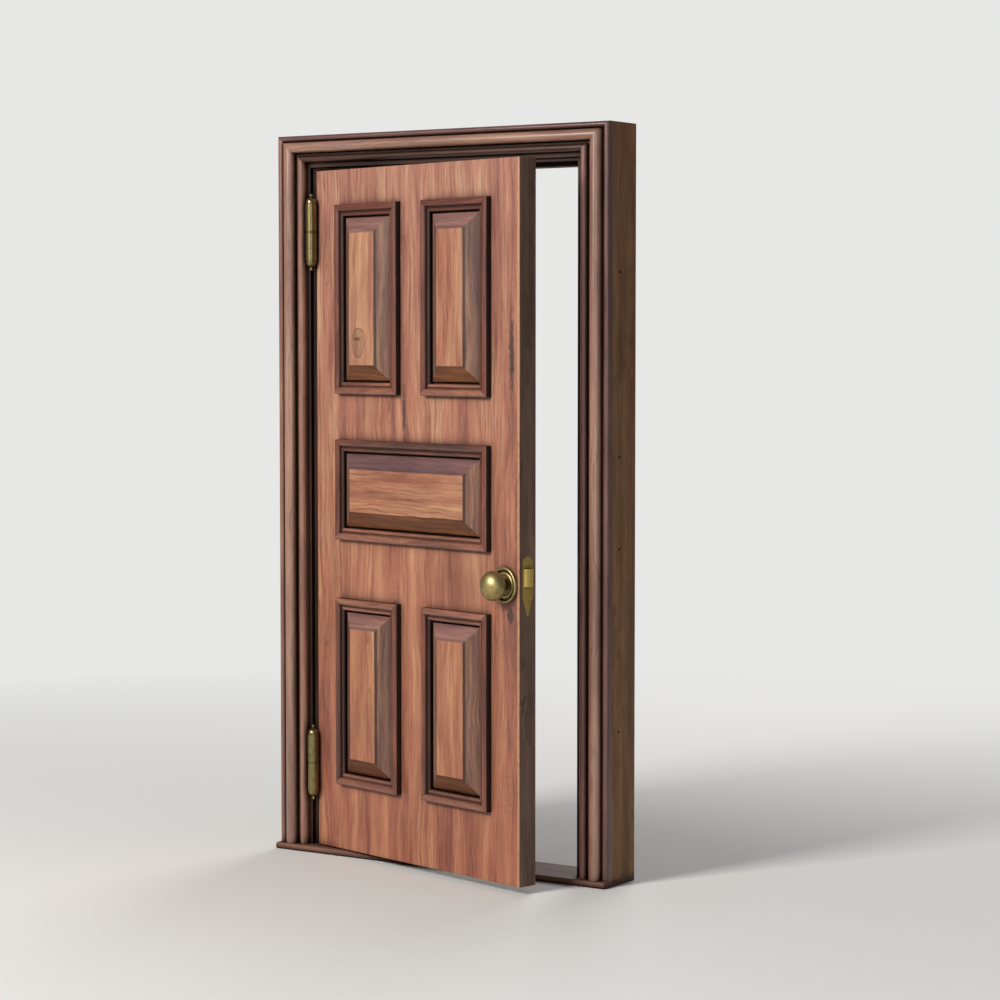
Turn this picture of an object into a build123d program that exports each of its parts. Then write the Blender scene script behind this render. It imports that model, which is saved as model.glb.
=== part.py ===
"""A panelled front door leaf standing ajar in its moulded frame, with lift-off hinges, knobs and a latch."""

import os
from math import atan2, cos, radians, sin, sqrt

from build123d import *

os.makedirs("parts", exist_ok=True)

# Leaf
leaf_width = 914.0
leaf_height = 2032.0
leaf_thickness = 63.5
leaf_arris = 2.0
open_angle = 15.4

# Clearances round the leaf
side_gap = 4.0
head_gap = 4.0
sill_gap = 3.5
stop_clearance = 1.5

# Frame
jamb_front = 14.0
jamb_face = 122.5
head_face = 103.0
frame_depth = 141.0
stop_lap = 13.0
stop_arris = 2.0
side_step_width = 14.5
head_step_width = 8.0
step_depth = 12.0
tenon_length = 45.0
tenon_width = 60.0
tenon_thickness = 36.0
threshold_thickness = 19.0
threshold_projection = 30.0
threshold_nose_radius = 8.0

# Casing moulding planted on the front of the frame
casing_width = 97.0
head_casing_width = 80.0
casing_thickness = 36.0
mitre_gap = 0.2

# Frame fixings
fixing_radius = 4.1
fixing_plug_radius = 9.0
fixing_plug_depth = 12.0
fixing_end_distance = 420.0
fixing_pair_spacing = 520.0

# Stiles, rails and mullions between the mouldings' outer edges
hinge_stile_show = 110.0
lock_stile_show = 118.0
mullion_show = 112.0
bottom_show = 198.0
lock_show = 176.0
cross_show = 136.0
top_show = 104.0
lower_panel_height = 560.0
middle_panel_height = 298.0
groove_depth = 12.0
tongue_thickness = 20.0
rail_tenon_length = 28.0
rail_tenon_shoulder = 18.0
joint_clearance = 0.2

# Mouldings round the panels
moulding_lap = 12.0
moulding_width = 35.0
moulding_rise = 23.0

# Raised panels, measured from the moulding's outer edge and the leaf's face
panel_recess = 6.0
panel_clearance = 0.3
panel_tongue = 11.0
bevel_start_inset = 41.0
bevel_end_inset = 78.0
field_inset = 86.0
front_bevel_start_rise = 6.0
front_bevel_end_rise = 28.0
front_field_rise = 32.0
back_bevel_start_rise = 1.0
back_bevel_end_rise = 8.0
back_field_rise = 11.0

# Hinges
pin_offset = 18.0
barrel_radius = 17.0
barrel_half_length = 104.0
barrel_straight = 84.0
barrel_end_radius = 15.6
barrel_groove_depth = 1.6
barrel_groove_width = 3.2
pin_radius = 6.0
pin_reach = 70.0
pin_clearance = 0.05
washer_thickness = 2.4
washer_inset = 1.6
washer_play = 0.1
finial_radius = 4.6
finial_neck_radius = 2.6
finial_neck_height = 2.4
flap_thickness = 4.0
flap_height = 82.0
flap_depth = 38.0
flap_clearance = 0.3
upper_hinge_drop = 182.0
lower_hinge_rise = 250.0
hinge_screw_radius = 2.4
hinge_screw_head_radius = 4.6
hinge_screw_head_height = 2.6
hinge_screw_length = 34.0
hinge_screw_pitch = 27.0
hinge_screw_edge = 12.0

# Knobs and rosettes
knob_height = 845.0
knob_backset = 56.5
front_knob_radius = 42.0
front_knob_half_length = 31.0
front_knob_reach = 48.0
front_rosette_radius = 51.0
front_rosette_height = 11.0
back_knob_radius = 24.0
back_knob_half_length = 12.0
back_knob_reach = 22.0
back_rosette_radius = 30.0
back_rosette_height = 5.0
knob_neck_radius = 13.0
knob_shank_radius = 11.0
shank_clearance = 0.08
shank_end_gap = 1.0
spindle_size = 9.0
spindle_clearance = 0.05
spindle_socket_depth = 16.0
spindle_hole_radius = 12.0

# Latch
latch_plate_width = 38.0
latch_plate_thickness = 3.0
latch_plate_top = 82.0
latch_plate_taper = 31.0
latch_plate_bottom = 85.0
latch_plate_tip_radius = 4.0
plate_clearance = 0.2
bolt_height = 50.0
bolt_low = 3.0
bolt_thickness = 28.0
bolt_nose = 14.0
bolt_body_length = 22.0
bolt_clearance = 0.4
case_wall = 2.5
case_depth = 94.0
case_top = 58.0
case_bottom = 28.0
hub_radius = 10.0
hub_journal_radius = 8.0
hub_clearance = 0.05
hub_thickness = 8.0
finger_reach = 20.0
finger_width = 8.0
finger_play = 1.6
tail_low = 24.0
tail_height = 12.0
tail_lug_drop = 13.0
tail_lug_width = 8.0

# Strike
strike_thickness = 2.5
strike_height = 118.0
strike_depth = 46.0
strike_corner_radius = 5.0
strike_room = 1.5
strike_pocket_depth = 14.0
strike_screw_radius = 2.2
strike_screw_head_radius = 4.2
strike_screw_head_height = 2.3
strike_screw_length = 30.0
strike_screw_end = 11.0

# Cuts run past the faces they leave by this much
overrun = 5.0

# Profile of the casing, as shares of its width from the outer edge and of its thickness from the back
casing_bead_shares = [(0.0, 0.42), (0.1, 0.64), (0.205, 0.46)]
casing_quirk_shares = [(0.225, 0.36), (0.25, 0.46)]
casing_torus_shares = [(0.25, 0.46), (0.455, 1.0), (0.65, 0.56)]
casing_groove_shares = [(0.67, 0.28), (0.755, 0.28)]
casing_inner_bead_shares = [(0.765, 0.5), (0.87, 0.7), (0.985, 0.5)]
casing_inner_edge_share = 0.42

# Profile of the panel moulding, as shares of its width from the outer edge and of its rise
moulding_torus_shares = [(0.0, 0.78), (0.25, 1.0), (0.58, 0.66)]
moulding_quirk_shares = [(0.6, 0.54), (0.66, 0.52)]
moulding_bead_shares = [(0.66, 0.52), (0.83, 0.66), (1.0, 0.38)]

# Section of a rosette, as shares of its radius and of its height
rosette_foot_shares = [(1.0, 0.0), (1.0, 0.4)]
rosette_ring_shares = [(1.0, 0.4), (0.93, 1.0), (0.84, 0.5)]
rosette_groove_shares = [(0.81, 0.2), (0.76, 0.2), (0.75, 0.5)]
rosette_inner_ring_shares = [(0.75, 0.5), (0.65, 0.8), (0.52, 0.3)]

# Round of a knob: the angle below its equator where it meets the neck, and the points its curve passes
knob_neck_angle = 62.0
knob_round_shares = [0.1, 0.2, 0.3, 0.4, 0.5, 0.6, 0.7, 0.8, 0.9]
neck_waist_share = 0.45

# Nose of the latch bolt: its crest sits towards the back, and its closing side is eased
nose_crest_share = 0.72
nose_ease_share = 0.45

# Worked out from the sizes above
swing_angle = radians(open_angle)
leaf_front = jamb_front
leaf_back = leaf_front + leaf_thickness
stop_front = leaf_back + stop_clearance
opening_half = leaf_width / 2 + side_gap
frame_half = opening_half + jamb_face
leaf_bottom = threshold_thickness + sill_gap
head_rebate = leaf_bottom + leaf_height + head_gap
frame_height = head_rebate + head_face
step_floor = jamb_front + step_depth
tongue_rise = -(leaf_thickness - tongue_thickness) / 2
panel_outline_width = (leaf_width - hinge_stile_show - lock_stile_show - mullion_show) / 2

# Frames that ride with the leaf: the pin's axis, the leaf's front and its lock edge
pin_x = -leaf_width / 2 - side_gap / 2
pin_y = leaf_front - pin_offset
leaf_along = Vector(cos(swing_angle), -sin(swing_angle), 0)
swing = Plane((pin_x, pin_y, leaf_bottom), x_dir=leaf_along, z_dir=(0, 0, 1))
along_axis = Axis(swing.origin, leaf_along)


def on_leaf(corner):
    """Turn a plane given in the shut leaf's own frame, centred on the pin, to where the leaf stands."""
    return Plane(swing.location * corner.location)


def leaf_face(rise=0):
    """Plane of the leaf's front moved out by rise: x runs from the hinge edge, y up from the leaf's foot."""
    return on_leaf(Plane((side_gap / 2, pin_offset - rise, 0), x_dir=(1, 0, 0), z_dir=(0, -1, 0)))


def section_through(face):
    """Plane through a face's normal, with x along the face and y standing out of it."""
    return Plane(face.origin, x_dir=face.x_dir, z_dir=-face.y_dir)


leaf_middle = leaf_face(-leaf_thickness / 2)
knob_from_pin = side_gap / 2 + leaf_width - knob_backset
front_knob_face = on_leaf(Plane((knob_from_pin, pin_offset, knob_height), x_dir=(1, 0, 0), z_dir=(0, -1, 0)))
back_knob_face = on_leaf(
    Plane((knob_from_pin, pin_offset + leaf_thickness, knob_height), x_dir=(-1, 0, 0), z_dir=(0, 1, 0))
)
lock_edge = on_leaf(
    Plane(
        (side_gap / 2 + leaf_width, pin_offset + leaf_thickness / 2, knob_height),
        x_dir=(0, 1, 0),
        z_dir=(1, 0, 0),
    )
)


def finish(part, name):
    """Label a finished piece and write it as a node of its own."""
    part.label = name
    export_step(part, f"parts/{name}.step")


def scaled(shares, width, height):
    """Points of a profile from its shares of a width and a height."""
    return [(across * width, up * height) for across, up in shares]


def box_between(low, high):
    """A rectangle drawn between two corners, for the sketch that is open."""
    width = high[0] - low[0]
    height = high[1] - low[1]
    with Locations(((low[0] + high[0]) / 2, (low[1] + high[1]) / 2)):
        Rectangle(width, height)


# Threshold board with a rounded nose
with BuildPart() as threshold:
    with BuildSketch(Plane.YZ):
        box_between((-threshold_projection, 0), (frame_depth, threshold_thickness))
    extrude(amount=frame_half, both=True)
    nose = threshold.faces().sort_by(Axis.Y)[0].edges().filter_by(Axis.X)
    fillet(nose, threshold_nose_radius)
finish(threshold.part, "threshold")


# Rebated section of the lock jamb in plan
with BuildSketch() as jamb_section:
    with BuildLine():
        Polyline(
            (frame_half, jamb_front),
            (frame_half, frame_depth),
            (opening_half - stop_lap, frame_depth),
            (opening_half - stop_lap, stop_front),
            (opening_half, stop_front),
            (opening_half, step_floor),
            (opening_half + side_step_width, step_floor),
            (opening_half + side_step_width, jamb_front),
            close=True,
        )
    make_face()

head_tenon_front = (stop_front + frame_depth - tenon_thickness) / 2
head_tenon_low = head_rebate + (head_face - tenon_width) / 2
fixing_depth = (step_floor + stop_front) / 2
fixing_heights = [
    threshold_thickness + fixing_end_distance,
    threshold_thickness + fixing_end_distance + fixing_pair_spacing,
    frame_height - fixing_end_distance - fixing_pair_spacing,
    frame_height - fixing_end_distance,
]

# Lock jamb as far as it is the same as the hinge jamb: rebate, mortise for the head and fixing holes
with BuildPart() as plain_jamb:
    with BuildSketch(Plane.XY.offset(threshold_thickness)):
        add(jamb_section.sketch)
    extrude(amount=frame_height - threshold_thickness)
    stop_corner = plain_jamb.edges().filter_by(Axis.Z).sort_by(Axis.X)[:2]
    chamfer(stop_corner, stop_arris)
    with BuildSketch(Plane.YZ.offset(opening_half - stop_lap)):
        box_between(
            (head_tenon_front - joint_clearance, head_tenon_low - joint_clearance),
            (
                head_tenon_front + tenon_thickness + joint_clearance,
                head_tenon_low + tenon_width + joint_clearance,
            ),
        )
    extrude(amount=stop_lap + tenon_length + joint_clearance, mode=Mode.SUBTRACT)
    with BuildSketch(Plane.YZ.offset(opening_half)):
        with Locations([(fixing_depth, height) for height in fixing_heights]):
            Circle(fixing_plug_radius)
    extrude(amount=fixing_plug_depth, mode=Mode.SUBTRACT)
    with BuildSketch(Plane.YZ.offset(opening_half)):
        with Locations([(fixing_depth, height) for height in fixing_heights]):
            Circle(fixing_radius)
    extrude(amount=jamb_face + overrun, mode=Mode.SUBTRACT)

# Strike: its plate lies flush in the lock jamb's rebate, round the shut bolt's place
bolt_middle = bolt_height / 2 - bolt_low
shut_bolt_depth = leaf_front + leaf_thickness / 2
shut_bolt_height = leaf_bottom + knob_height + bolt_middle
strike_back = step_floor + strike_depth
strike_face = Plane((opening_half, 0, shut_bolt_height), x_dir=(0, 1, 0), z_dir=(1, 0, 0))
strike_mid = (step_floor + strike_back) / 2
strike_screw_offset = strike_height / 2 - strike_screw_end
strike_screw_spots = [(strike_mid, -strike_screw_offset), (strike_mid, strike_screw_offset)]

with BuildPart() as lock_jamb:
    add(plain_jamb.part)
    with BuildSketch(strike_face):
        with Locations((strike_mid, 0)):
            RectangleRounded(
                strike_depth + 2 * plate_clearance, strike_height + 2 * plate_clearance, strike_corner_radius
            )
    extrude(amount=strike_thickness, mode=Mode.SUBTRACT)
    with BuildSketch(strike_face):
        with Locations((shut_bolt_depth, 0)):
            Rectangle(bolt_thickness + 2 * strike_room, bolt_height + 2 * strike_room)
    extrude(amount=strike_pocket_depth, mode=Mode.SUBTRACT)
    with BuildSketch(strike_face):
        with Locations(strike_screw_spots):
            Circle(strike_screw_radius + plate_clearance)
    extrude(amount=strike_screw_length + plate_clearance, mode=Mode.SUBTRACT)
finish(lock_jamb.part, "lock_jamb")

with BuildPart() as strike_plate:
    with BuildSketch(strike_face):
        with Locations((strike_mid, 0)):
            RectangleRounded(strike_depth, strike_height, strike_corner_radius)
        with Locations((shut_bolt_depth, 0)):
            Rectangle(bolt_thickness + 2 * strike_room, bolt_height + 2 * strike_room, mode=Mode.SUBTRACT)
    extrude(amount=strike_thickness)
    with Locations(strike_face):
        with Locations([(depth, height, 0) for depth, height in strike_screw_spots]):
            Cone(
                strike_screw_head_radius + plate_clearance,
                strike_screw_radius + plate_clearance,
                strike_screw_head_height,
                align=(Align.CENTER, Align.CENTER, Align.MIN),
                mode=Mode.SUBTRACT,
            )
            Cylinder(
                strike_screw_radius + plate_clearance,
                strike_thickness,
                align=(Align.CENTER, Align.CENTER, Align.MIN),
                mode=Mode.SUBTRACT,
            )
finish(strike_plate.part, "strike_plate")


def wood_screws(name, faces, head_radius, head_height, radius, length):
    """Countersunk screws driven along the normals of the given planes, all in one node."""
    with BuildPart() as screws:
        for face in faces:
            with BuildSketch(section_through(face)):
                with BuildLine():
                    Polyline(
                        (0, 0),
                        (head_radius, 0),
                        (radius, head_height),
                        (radius, length - radius),
                        (0, length),
                        close=True,
                    )
                make_face()
            revolve(axis=Axis(face.origin, face.z_dir))
    finish(screws.part, name)


strike_screw_faces = [
    Plane((opening_half, depth, shut_bolt_height + height), x_dir=(0, 1, 0), z_dir=(1, 0, 0))
    for depth, height in strike_screw_spots
]
wood_screws(
    "strike_screws",
    strike_screw_faces,
    strike_screw_head_radius,
    strike_screw_head_height,
    strike_screw_radius,
    strike_screw_length,
)

# Hinges: heights of their middles, and the seats of their flaps
hinge_heights = {
    "upper_hinge": leaf_height - upper_hinge_drop,
    "lower_hinge": lower_hinge_rise,
}
flap_reach = pin_offset + flap_depth
knuckle_start = washer_thickness / 2
jamb_flap_end = step_floor - pin_y + flap_depth
screw_heights = [knuckle_start + flap_height / 2 + step * hinge_screw_pitch for step in (-1, 0, 1)]

with BuildPart() as hinge_jamb:
    mirror(plain_jamb.part, about=Plane.YZ)
    for hinge_height in hinge_heights.values():
        pivot = Plane((pin_x, pin_y, leaf_bottom + hinge_height))
        with BuildSketch(Plane(pivot.origin, x_dir=(0, 1, 0), z_dir=(1, 0, 0))):
            box_between(
                (0, -knuckle_start - flap_height - flap_clearance),
                (jamb_flap_end + flap_clearance, -knuckle_start + flap_clearance),
            )
        extrude(amount=-flap_thickness, mode=Mode.SUBTRACT)
        with BuildSketch(Plane(pivot.origin, x_dir=(0, 1, 0), z_dir=(1, 0, 0))):
            with Locations([(jamb_flap_end - hinge_screw_edge, -height) for height in screw_heights]):
                Circle(hinge_screw_radius + plate_clearance)
        extrude(amount=-hinge_screw_length - plate_clearance, mode=Mode.SUBTRACT)
finish(hinge_jamb.part, "hinge_jamb")

# Head of the frame, scribed over the jambs and tenoned into them
with BuildPart() as head_jamb:
    with BuildSketch(Plane.YZ):
        with BuildLine():
            Polyline(
                (jamb_front, frame_height),
                (frame_depth, frame_height),
                (frame_depth, head_rebate - stop_lap),
                (stop_front, head_rebate - stop_lap),
                (stop_front, head_rebate),
                (step_floor, head_rebate),
                (step_floor, head_rebate + head_step_width),
                (jamb_front, head_rebate + head_step_width),
                close=True,
            )
        make_face()
    extrude(amount=frame_half, both=True)
    with BuildSketch(Plane.XY):
        add(jamb_section.sketch)
        mirror(about=Plane.YZ)
    extrude(amount=frame_height + overrun, mode=Mode.SUBTRACT)
    with BuildSketch(Plane.YZ):
        box_between(
            (head_tenon_front, head_tenon_low),
            (head_tenon_front + tenon_thickness, head_tenon_low + tenon_width),
        )
    extrude(amount=opening_half + tenon_length, both=True)
finish(head_jamb.part, "head_jamb")


def casing_section(width):
    """Moulded section of a casing: x from its outer edge inwards, y from its back outwards."""
    bead = scaled(casing_bead_shares, width, casing_thickness)
    quirk = scaled(casing_quirk_shares, width, casing_thickness)
    torus = scaled(casing_torus_shares, width, casing_thickness)
    groove = scaled(casing_groove_shares, width, casing_thickness)
    inner_bead = scaled(casing_inner_bead_shares, width, casing_thickness)
    with BuildSketch() as section:
        with BuildLine():
            Line((0, 0), bead[0])
            ThreePointArc(*bead)
            Polyline(bead[-1], *quirk)
            ThreePointArc(*torus)
            Polyline(torus[-1], *groove, inner_bead[0])
            ThreePointArc(*inner_bead)
            Polyline(
                inner_bead[-1],
                (width, casing_thickness * casing_inner_edge_share),
                (width, 0),
                (0, 0),
            )
        make_face()
    return section.sketch


# Casings: two uprights and a head piece, meeting on a line through their outer and inner corners
mitre_shift = mitre_gap / 2
with BuildPart() as lock_side_casing:
    with BuildSketch(Plane((frame_half, jamb_front, threshold_thickness), x_dir=(-1, 0, 0))):
        add(casing_section(casing_width))
    extrude(amount=frame_height - threshold_thickness)
    corner = Plane(
        (frame_half, 0, frame_height - mitre_shift),
        x_dir=(0, 1, 0),
        z_dir=(-head_casing_width, 0, casing_width),
    )
    split(bisect_by=corner, keep=Keep.BOTTOM)
finish(lock_side_casing.part, "lock_side_casing")

with BuildPart() as hinge_side_casing:
    mirror(lock_side_casing.part, about=Plane.YZ)
finish(hinge_side_casing.part, "hinge_side_casing")

head_section = Plane((0, jamb_front, frame_height), x_dir=(0, 0, -1), z_dir=(-1, 0, 0))
with BuildPart() as head_casing:
    with BuildSketch(head_section):
        add(casing_section(head_casing_width))
    extrude(amount=frame_half, both=True)
    for side in (-1, 1):
        corner = Plane(
            (side * (frame_half - mitre_shift), 0, frame_height),
            x_dir=(0, 1, 0),
            z_dir=(side * head_casing_width, 0, -casing_width),
        )
        split(bisect_by=corner, keep=Keep.BOTTOM)
finish(head_casing.part, "head_casing")

# Outer edges of the mouldings on the leaf, from its hinge edge and its foot
left_column = (hinge_stile_show, hinge_stile_show + panel_outline_width)
right_column = (left_column[1] + mullion_show, leaf_width - lock_stile_show)
whole_width = (left_column[0], right_column[1])
lower_band = (bottom_show, bottom_show + lower_panel_height)
middle_band = (lower_band[1] + lock_show, lower_band[1] + lock_show + middle_panel_height)
upper_band = (middle_band[1] + cross_show, leaf_height - top_show)
panel_places = {
    "lower_left": (left_column, lower_band),
    "lower_right": (right_column, lower_band),
    "middle": (whole_width, middle_band),
    "upper_left": (left_column, upper_band),
    "upper_right": (right_column, upper_band),
}

# Places where the stiles and rails end, behind the mouldings
hinge_stile_end = left_column[0] + moulding_lap
lock_stile_start = right_column[1] - moulding_lap
mullion_span = (left_column[1] - moulding_lap, right_column[0] + moulding_lap)
rail_spans = {
    "bottom_rail": (0, lower_band[0] + moulding_lap),
    "lock_rail": (lower_band[1] - moulding_lap, middle_band[0] + moulding_lap),
    "cross_rail": (middle_band[1] - moulding_lap, upper_band[0] + moulding_lap),
    "top_rail": (upper_band[1] - moulding_lap, leaf_height),
}
tongue_face = leaf_face(tongue_rise)
groove_face = leaf_face(tongue_rise + joint_clearance)
groove_width = tongue_thickness + 2 * joint_clearance


def tenon_span(span):
    """Height of a rail's tenon: the rail's own height less a shoulder at each edge."""
    return span[0] + rail_tenon_shoulder, span[1] - rail_tenon_shoulder


def stile_joints(inner, towards):
    """Corners of a stile's panel groove and rail mortises; towards points from inner into the stile."""
    ends = sorted((inner, inner + towards * groove_depth))
    boxes = [((ends[0], -overrun), (ends[1], leaf_height + overrun))]
    ends = sorted((inner, inner + towards * (rail_tenon_length + joint_clearance)))
    for span in rail_spans.values():
        low, high = tenon_span(span)
        boxes.append(((ends[0], low - joint_clearance), (ends[1], high + joint_clearance)))
    return boxes


with BuildPart() as hinge_stile:
    with BuildSketch(leaf_face()):
        box_between((0, 0), (hinge_stile_end, leaf_height))
    extrude(amount=-leaf_thickness)
    chamfer(hinge_stile.edges().filter_by(Axis.Z).sort_by(along_axis)[:2], leaf_arris)
    with BuildSketch(groove_face):
        for low_corner, high_corner in stile_joints(hinge_stile_end, -1):
            box_between(low_corner, high_corner)
    extrude(amount=-groove_width, mode=Mode.SUBTRACT)
    for hinge_height in hinge_heights.values():
        flap_seat = on_leaf(Plane((0, 0, hinge_height), x_dir=(0, 1, 0), z_dir=(1, 0, 0)))
        with BuildSketch(flap_seat):
            box_between(
                (0, knuckle_start - flap_clearance),
                (flap_reach + flap_clearance, knuckle_start + flap_height + flap_clearance),
            )
        extrude(amount=flap_thickness, mode=Mode.SUBTRACT)
        with BuildSketch(flap_seat):
            with Locations([(flap_reach - hinge_screw_edge, height) for height in screw_heights]):
                Circle(hinge_screw_radius + plate_clearance)
        extrude(amount=hinge_screw_length + plate_clearance, mode=Mode.SUBTRACT)
finish(hinge_stile.part, "hinge_stile")


def latch_plate_outline(grow):
    """Outline of the latch's face plate, round at the top and drawn to a point below, grown by grow."""
    half = latch_plate_width / 2 + grow
    tip = latch_plate_tip_radius + grow
    round_centre = latch_plate_top - latch_plate_width / 2
    tip_centre = tip - latch_plate_bottom - grow
    with BuildSketch() as outline:
        with BuildLine():
            Line((half, -latch_plate_taper), (half, round_centre))
            ThreePointArc((half, round_centre), (0, round_centre + half), (-half, round_centre))
            Polyline((-half, round_centre), (-half, -latch_plate_taper), (-tip, tip_centre))
            ThreePointArc((-tip, tip_centre), (0, tip_centre - tip), (tip, tip_centre))
            Line((tip, tip_centre), (half, -latch_plate_taper))
        make_face()
    return outline.sketch


case_thickness = bolt_thickness + 2 * (bolt_clearance + case_wall)
case_middle = (case_top - case_bottom) / 2
case_height = case_top + case_bottom
case_face = lock_edge.offset(-latch_plate_thickness)
case_back = latch_plate_thickness + case_depth

with BuildPart() as lock_stile:
    with BuildSketch(leaf_face()):
        box_between((lock_stile_start, 0), (leaf_width, leaf_height))
    extrude(amount=-leaf_thickness)
    chamfer(lock_stile.edges().filter_by(Axis.Z).sort_by(along_axis)[-2:], leaf_arris)
    with BuildSketch(groove_face):
        for low_corner, high_corner in stile_joints(lock_stile_start, 1):
            box_between(low_corner, high_corner)
    extrude(amount=-groove_width, mode=Mode.SUBTRACT)
    with BuildSketch(lock_edge):
        add(latch_plate_outline(plate_clearance))
    extrude(amount=-latch_plate_thickness, mode=Mode.SUBTRACT)
    with BuildSketch(lock_edge):
        with Locations((0, case_middle)):
            Rectangle(case_thickness + 2 * plate_clearance, case_height + 2 * plate_clearance)
    extrude(amount=-case_back - plate_clearance, mode=Mode.SUBTRACT)
    with BuildSketch(front_knob_face):
        Circle(spindle_hole_radius)
    extrude(amount=-leaf_thickness - overrun, mode=Mode.SUBTRACT)
finish(lock_stile.part, "lock_stile")


def rail(name, span):
    """A rail between the stiles: tongues and tenons at its ends, panel grooves along its edges."""
    low, high = span
    tenon_low, tenon_high = tenon_span(span)
    with BuildPart() as bar:
        with BuildSketch(leaf_face()):
            box_between((hinge_stile_end, low), (lock_stile_start, high))
        extrude(amount=-leaf_thickness)
        grooves = []
        if low > 0:
            grooves.append((low, low + groove_depth))
        if high < leaf_height:
            grooves.append((high - groove_depth, high))
        with BuildSketch(groove_face):
            for edge_low, edge_high in grooves:
                box_between((hinge_stile_end - overrun, edge_low), (lock_stile_start + overrun, edge_high))
        extrude(amount=-groove_width, mode=Mode.SUBTRACT)
        with BuildSketch(tongue_face):
            tongue_low = low + (groove_depth if low > 0 else 0)
            tongue_high = high - (groove_depth if high < leaf_height else 0)
            for start, towards in ((hinge_stile_end, -1), (lock_stile_start, 1)):
                ends = sorted((start, start + towards * (groove_depth - joint_clearance)))
                box_between((ends[0], tongue_low), (ends[1], tongue_high))
                ends = sorted((start, start + towards * rail_tenon_length))
                box_between((ends[0], tenon_low), (ends[1], tenon_high))
        extrude(amount=-tongue_thickness)
    finish(bar.part, name)


for rail_name, rail_span in rail_spans.items():
    rail(rail_name, rail_span)


def mullion(name, low, high):
    """An upright between two rails: a tongue at each end, a panel groove in each side."""
    left, right = mullion_span
    with BuildPart() as upright:
        with BuildSketch(leaf_face()):
            box_between((left, low), (right, high))
        extrude(amount=-leaf_thickness)
        with BuildSketch(groove_face):
            box_between((left, low - overrun), (left + groove_depth, high + overrun))
            box_between((right - groove_depth, low - overrun), (right, high + overrun))
        extrude(amount=-groove_width, mode=Mode.SUBTRACT)
        with BuildSketch(tongue_face):
            tongue_end = groove_depth - joint_clearance
            box_between((left + groove_depth, low - tongue_end), (right - groove_depth, high + tongue_end))
        extrude(amount=-tongue_thickness)
    finish(upright.part, name)


mullion("lower_mullion", rail_spans["bottom_rail"][1], rail_spans["lock_rail"][0])
mullion("upper_mullion", rail_spans["cross_rail"][1], rail_spans["top_rail"][0])


def inset_box(place, inset):
    """Rectangle of a moulding's outline drawn in by an inset, for the sketch that is open."""
    (left, right), (low, high) = place
    box_between((left + inset, low + inset), (right - inset, high - inset))


def raised_panel(name, place):
    """A panel let into the grooves, raised and fielded on both faces with mitred bevels."""
    margin = moulding_lap + panel_clearance
    front_steps = (front_bevel_start_rise, front_bevel_end_rise, front_field_rise)
    back_steps = (back_bevel_start_rise, back_bevel_end_rise, back_field_rise)
    with BuildPart() as panel:
        with BuildSketch(tongue_face):
            inset_box(place, moulding_lap - panel_tongue)
        extrude(amount=-tongue_thickness)
        with BuildSketch(leaf_face(-panel_recess)):
            inset_box(place, margin)
        extrude(amount=-(leaf_thickness - 2 * panel_recess))
        for side, steps in ((1, front_steps), (-1, back_steps)):
            levels = [leaf_face(rise if side > 0 else -leaf_thickness - rise) for rise in steps]
            with BuildSketch(leaf_middle):
                inset_box(place, bevel_start_inset)
            extrude(amount=side * (leaf_thickness / 2 + steps[0]))
            with BuildSketch(levels[0]):
                inset_box(place, bevel_start_inset)
            with BuildSketch(levels[1]):
                inset_box(place, bevel_end_inset)
            loft()
            with BuildSketch(levels[1]):
                inset_box(place, bevel_end_inset)
            with BuildSketch(levels[2]):
                inset_box(place, field_inset)
            loft()
    finish(panel.part, name)


for place_name, panel_place in panel_places.items():
    raised_panel(f"{place_name}_panel", panel_place)


def moulding_bar(start, along, length):
    """One mitred bar of a panel moulding, run along the leaf's face from its outer corner."""
    face = leaf_face()
    across = face.z_dir.cross(along)
    profile_plane = Plane(start, x_dir=across, z_dir=along)
    plan_plane = Plane(start, x_dir=along, z_dir=face.z_dir)
    torus = scaled(moulding_torus_shares, moulding_width, moulding_rise)
    quirk = scaled(moulding_quirk_shares, moulding_width, moulding_rise)
    bead = scaled(moulding_bead_shares, moulding_width, moulding_rise)
    with BuildPart() as bar:
        with BuildSketch(profile_plane):
            with BuildLine():
                Line((0, 0), torus[0])
                ThreePointArc(*torus)
                Polyline(torus[-1], *quirk)
                ThreePointArc(*bead)
                Polyline(
                    bead[-1],
                    (moulding_width, -panel_recess),
                    (moulding_lap + panel_clearance, -panel_recess),
                    (moulding_lap + panel_clearance, 0),
                    (0, 0),
                )
            make_face()
        extrude(amount=length)
        with BuildSketch(plan_plane):
            with BuildLine():
                Polyline(
                    (mitre_shift, 0),
                    (length - mitre_shift, 0),
                    (length - mitre_shift - moulding_width, moulding_width),
                    (mitre_shift + moulding_width, moulding_width),
                    close=True,
                )
            make_face()
        extrude(amount=moulding_rise + overrun, both=True, mode=Mode.INTERSECT)
    return bar.part


def panel_mouldings(name, place):
    """The mitred mouldings round one panel, on the front of the leaf and again on its back."""
    (left, right), (low, high) = place
    face = leaf_face()
    corners = [(left, low), (right, low), (right, high), (left, high)]
    with BuildPart() as front:
        for index, corner in enumerate(corners):
            start = face.from_local_coords((*corner, 0))
            end = face.from_local_coords((*corners[(index + 1) % len(corners)], 0))
            add(moulding_bar(start, (end - start).normalized(), (end - start).length))
    with BuildPart() as back:
        mirror(front.part, about=leaf_middle)
    finish(front.part, f"{name}_front_moulding")
    finish(back.part, f"{name}_back_moulding")


for place_name, panel_place in panel_places.items():
    panel_mouldings(place_name, panel_place)


def cap_points(radius, low, high):
    """Start, middle and end of a round cap's profile, from its foot up to its top on the axis."""
    rise = high - low
    ball = (radius**2 + rise**2) / (2 * rise)
    centre = high - ball
    half_angle = atan2(radius, low - centre) / 2
    return (radius, low), (ball * sin(half_angle), centre + ball * cos(half_angle)), (0, high)


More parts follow.
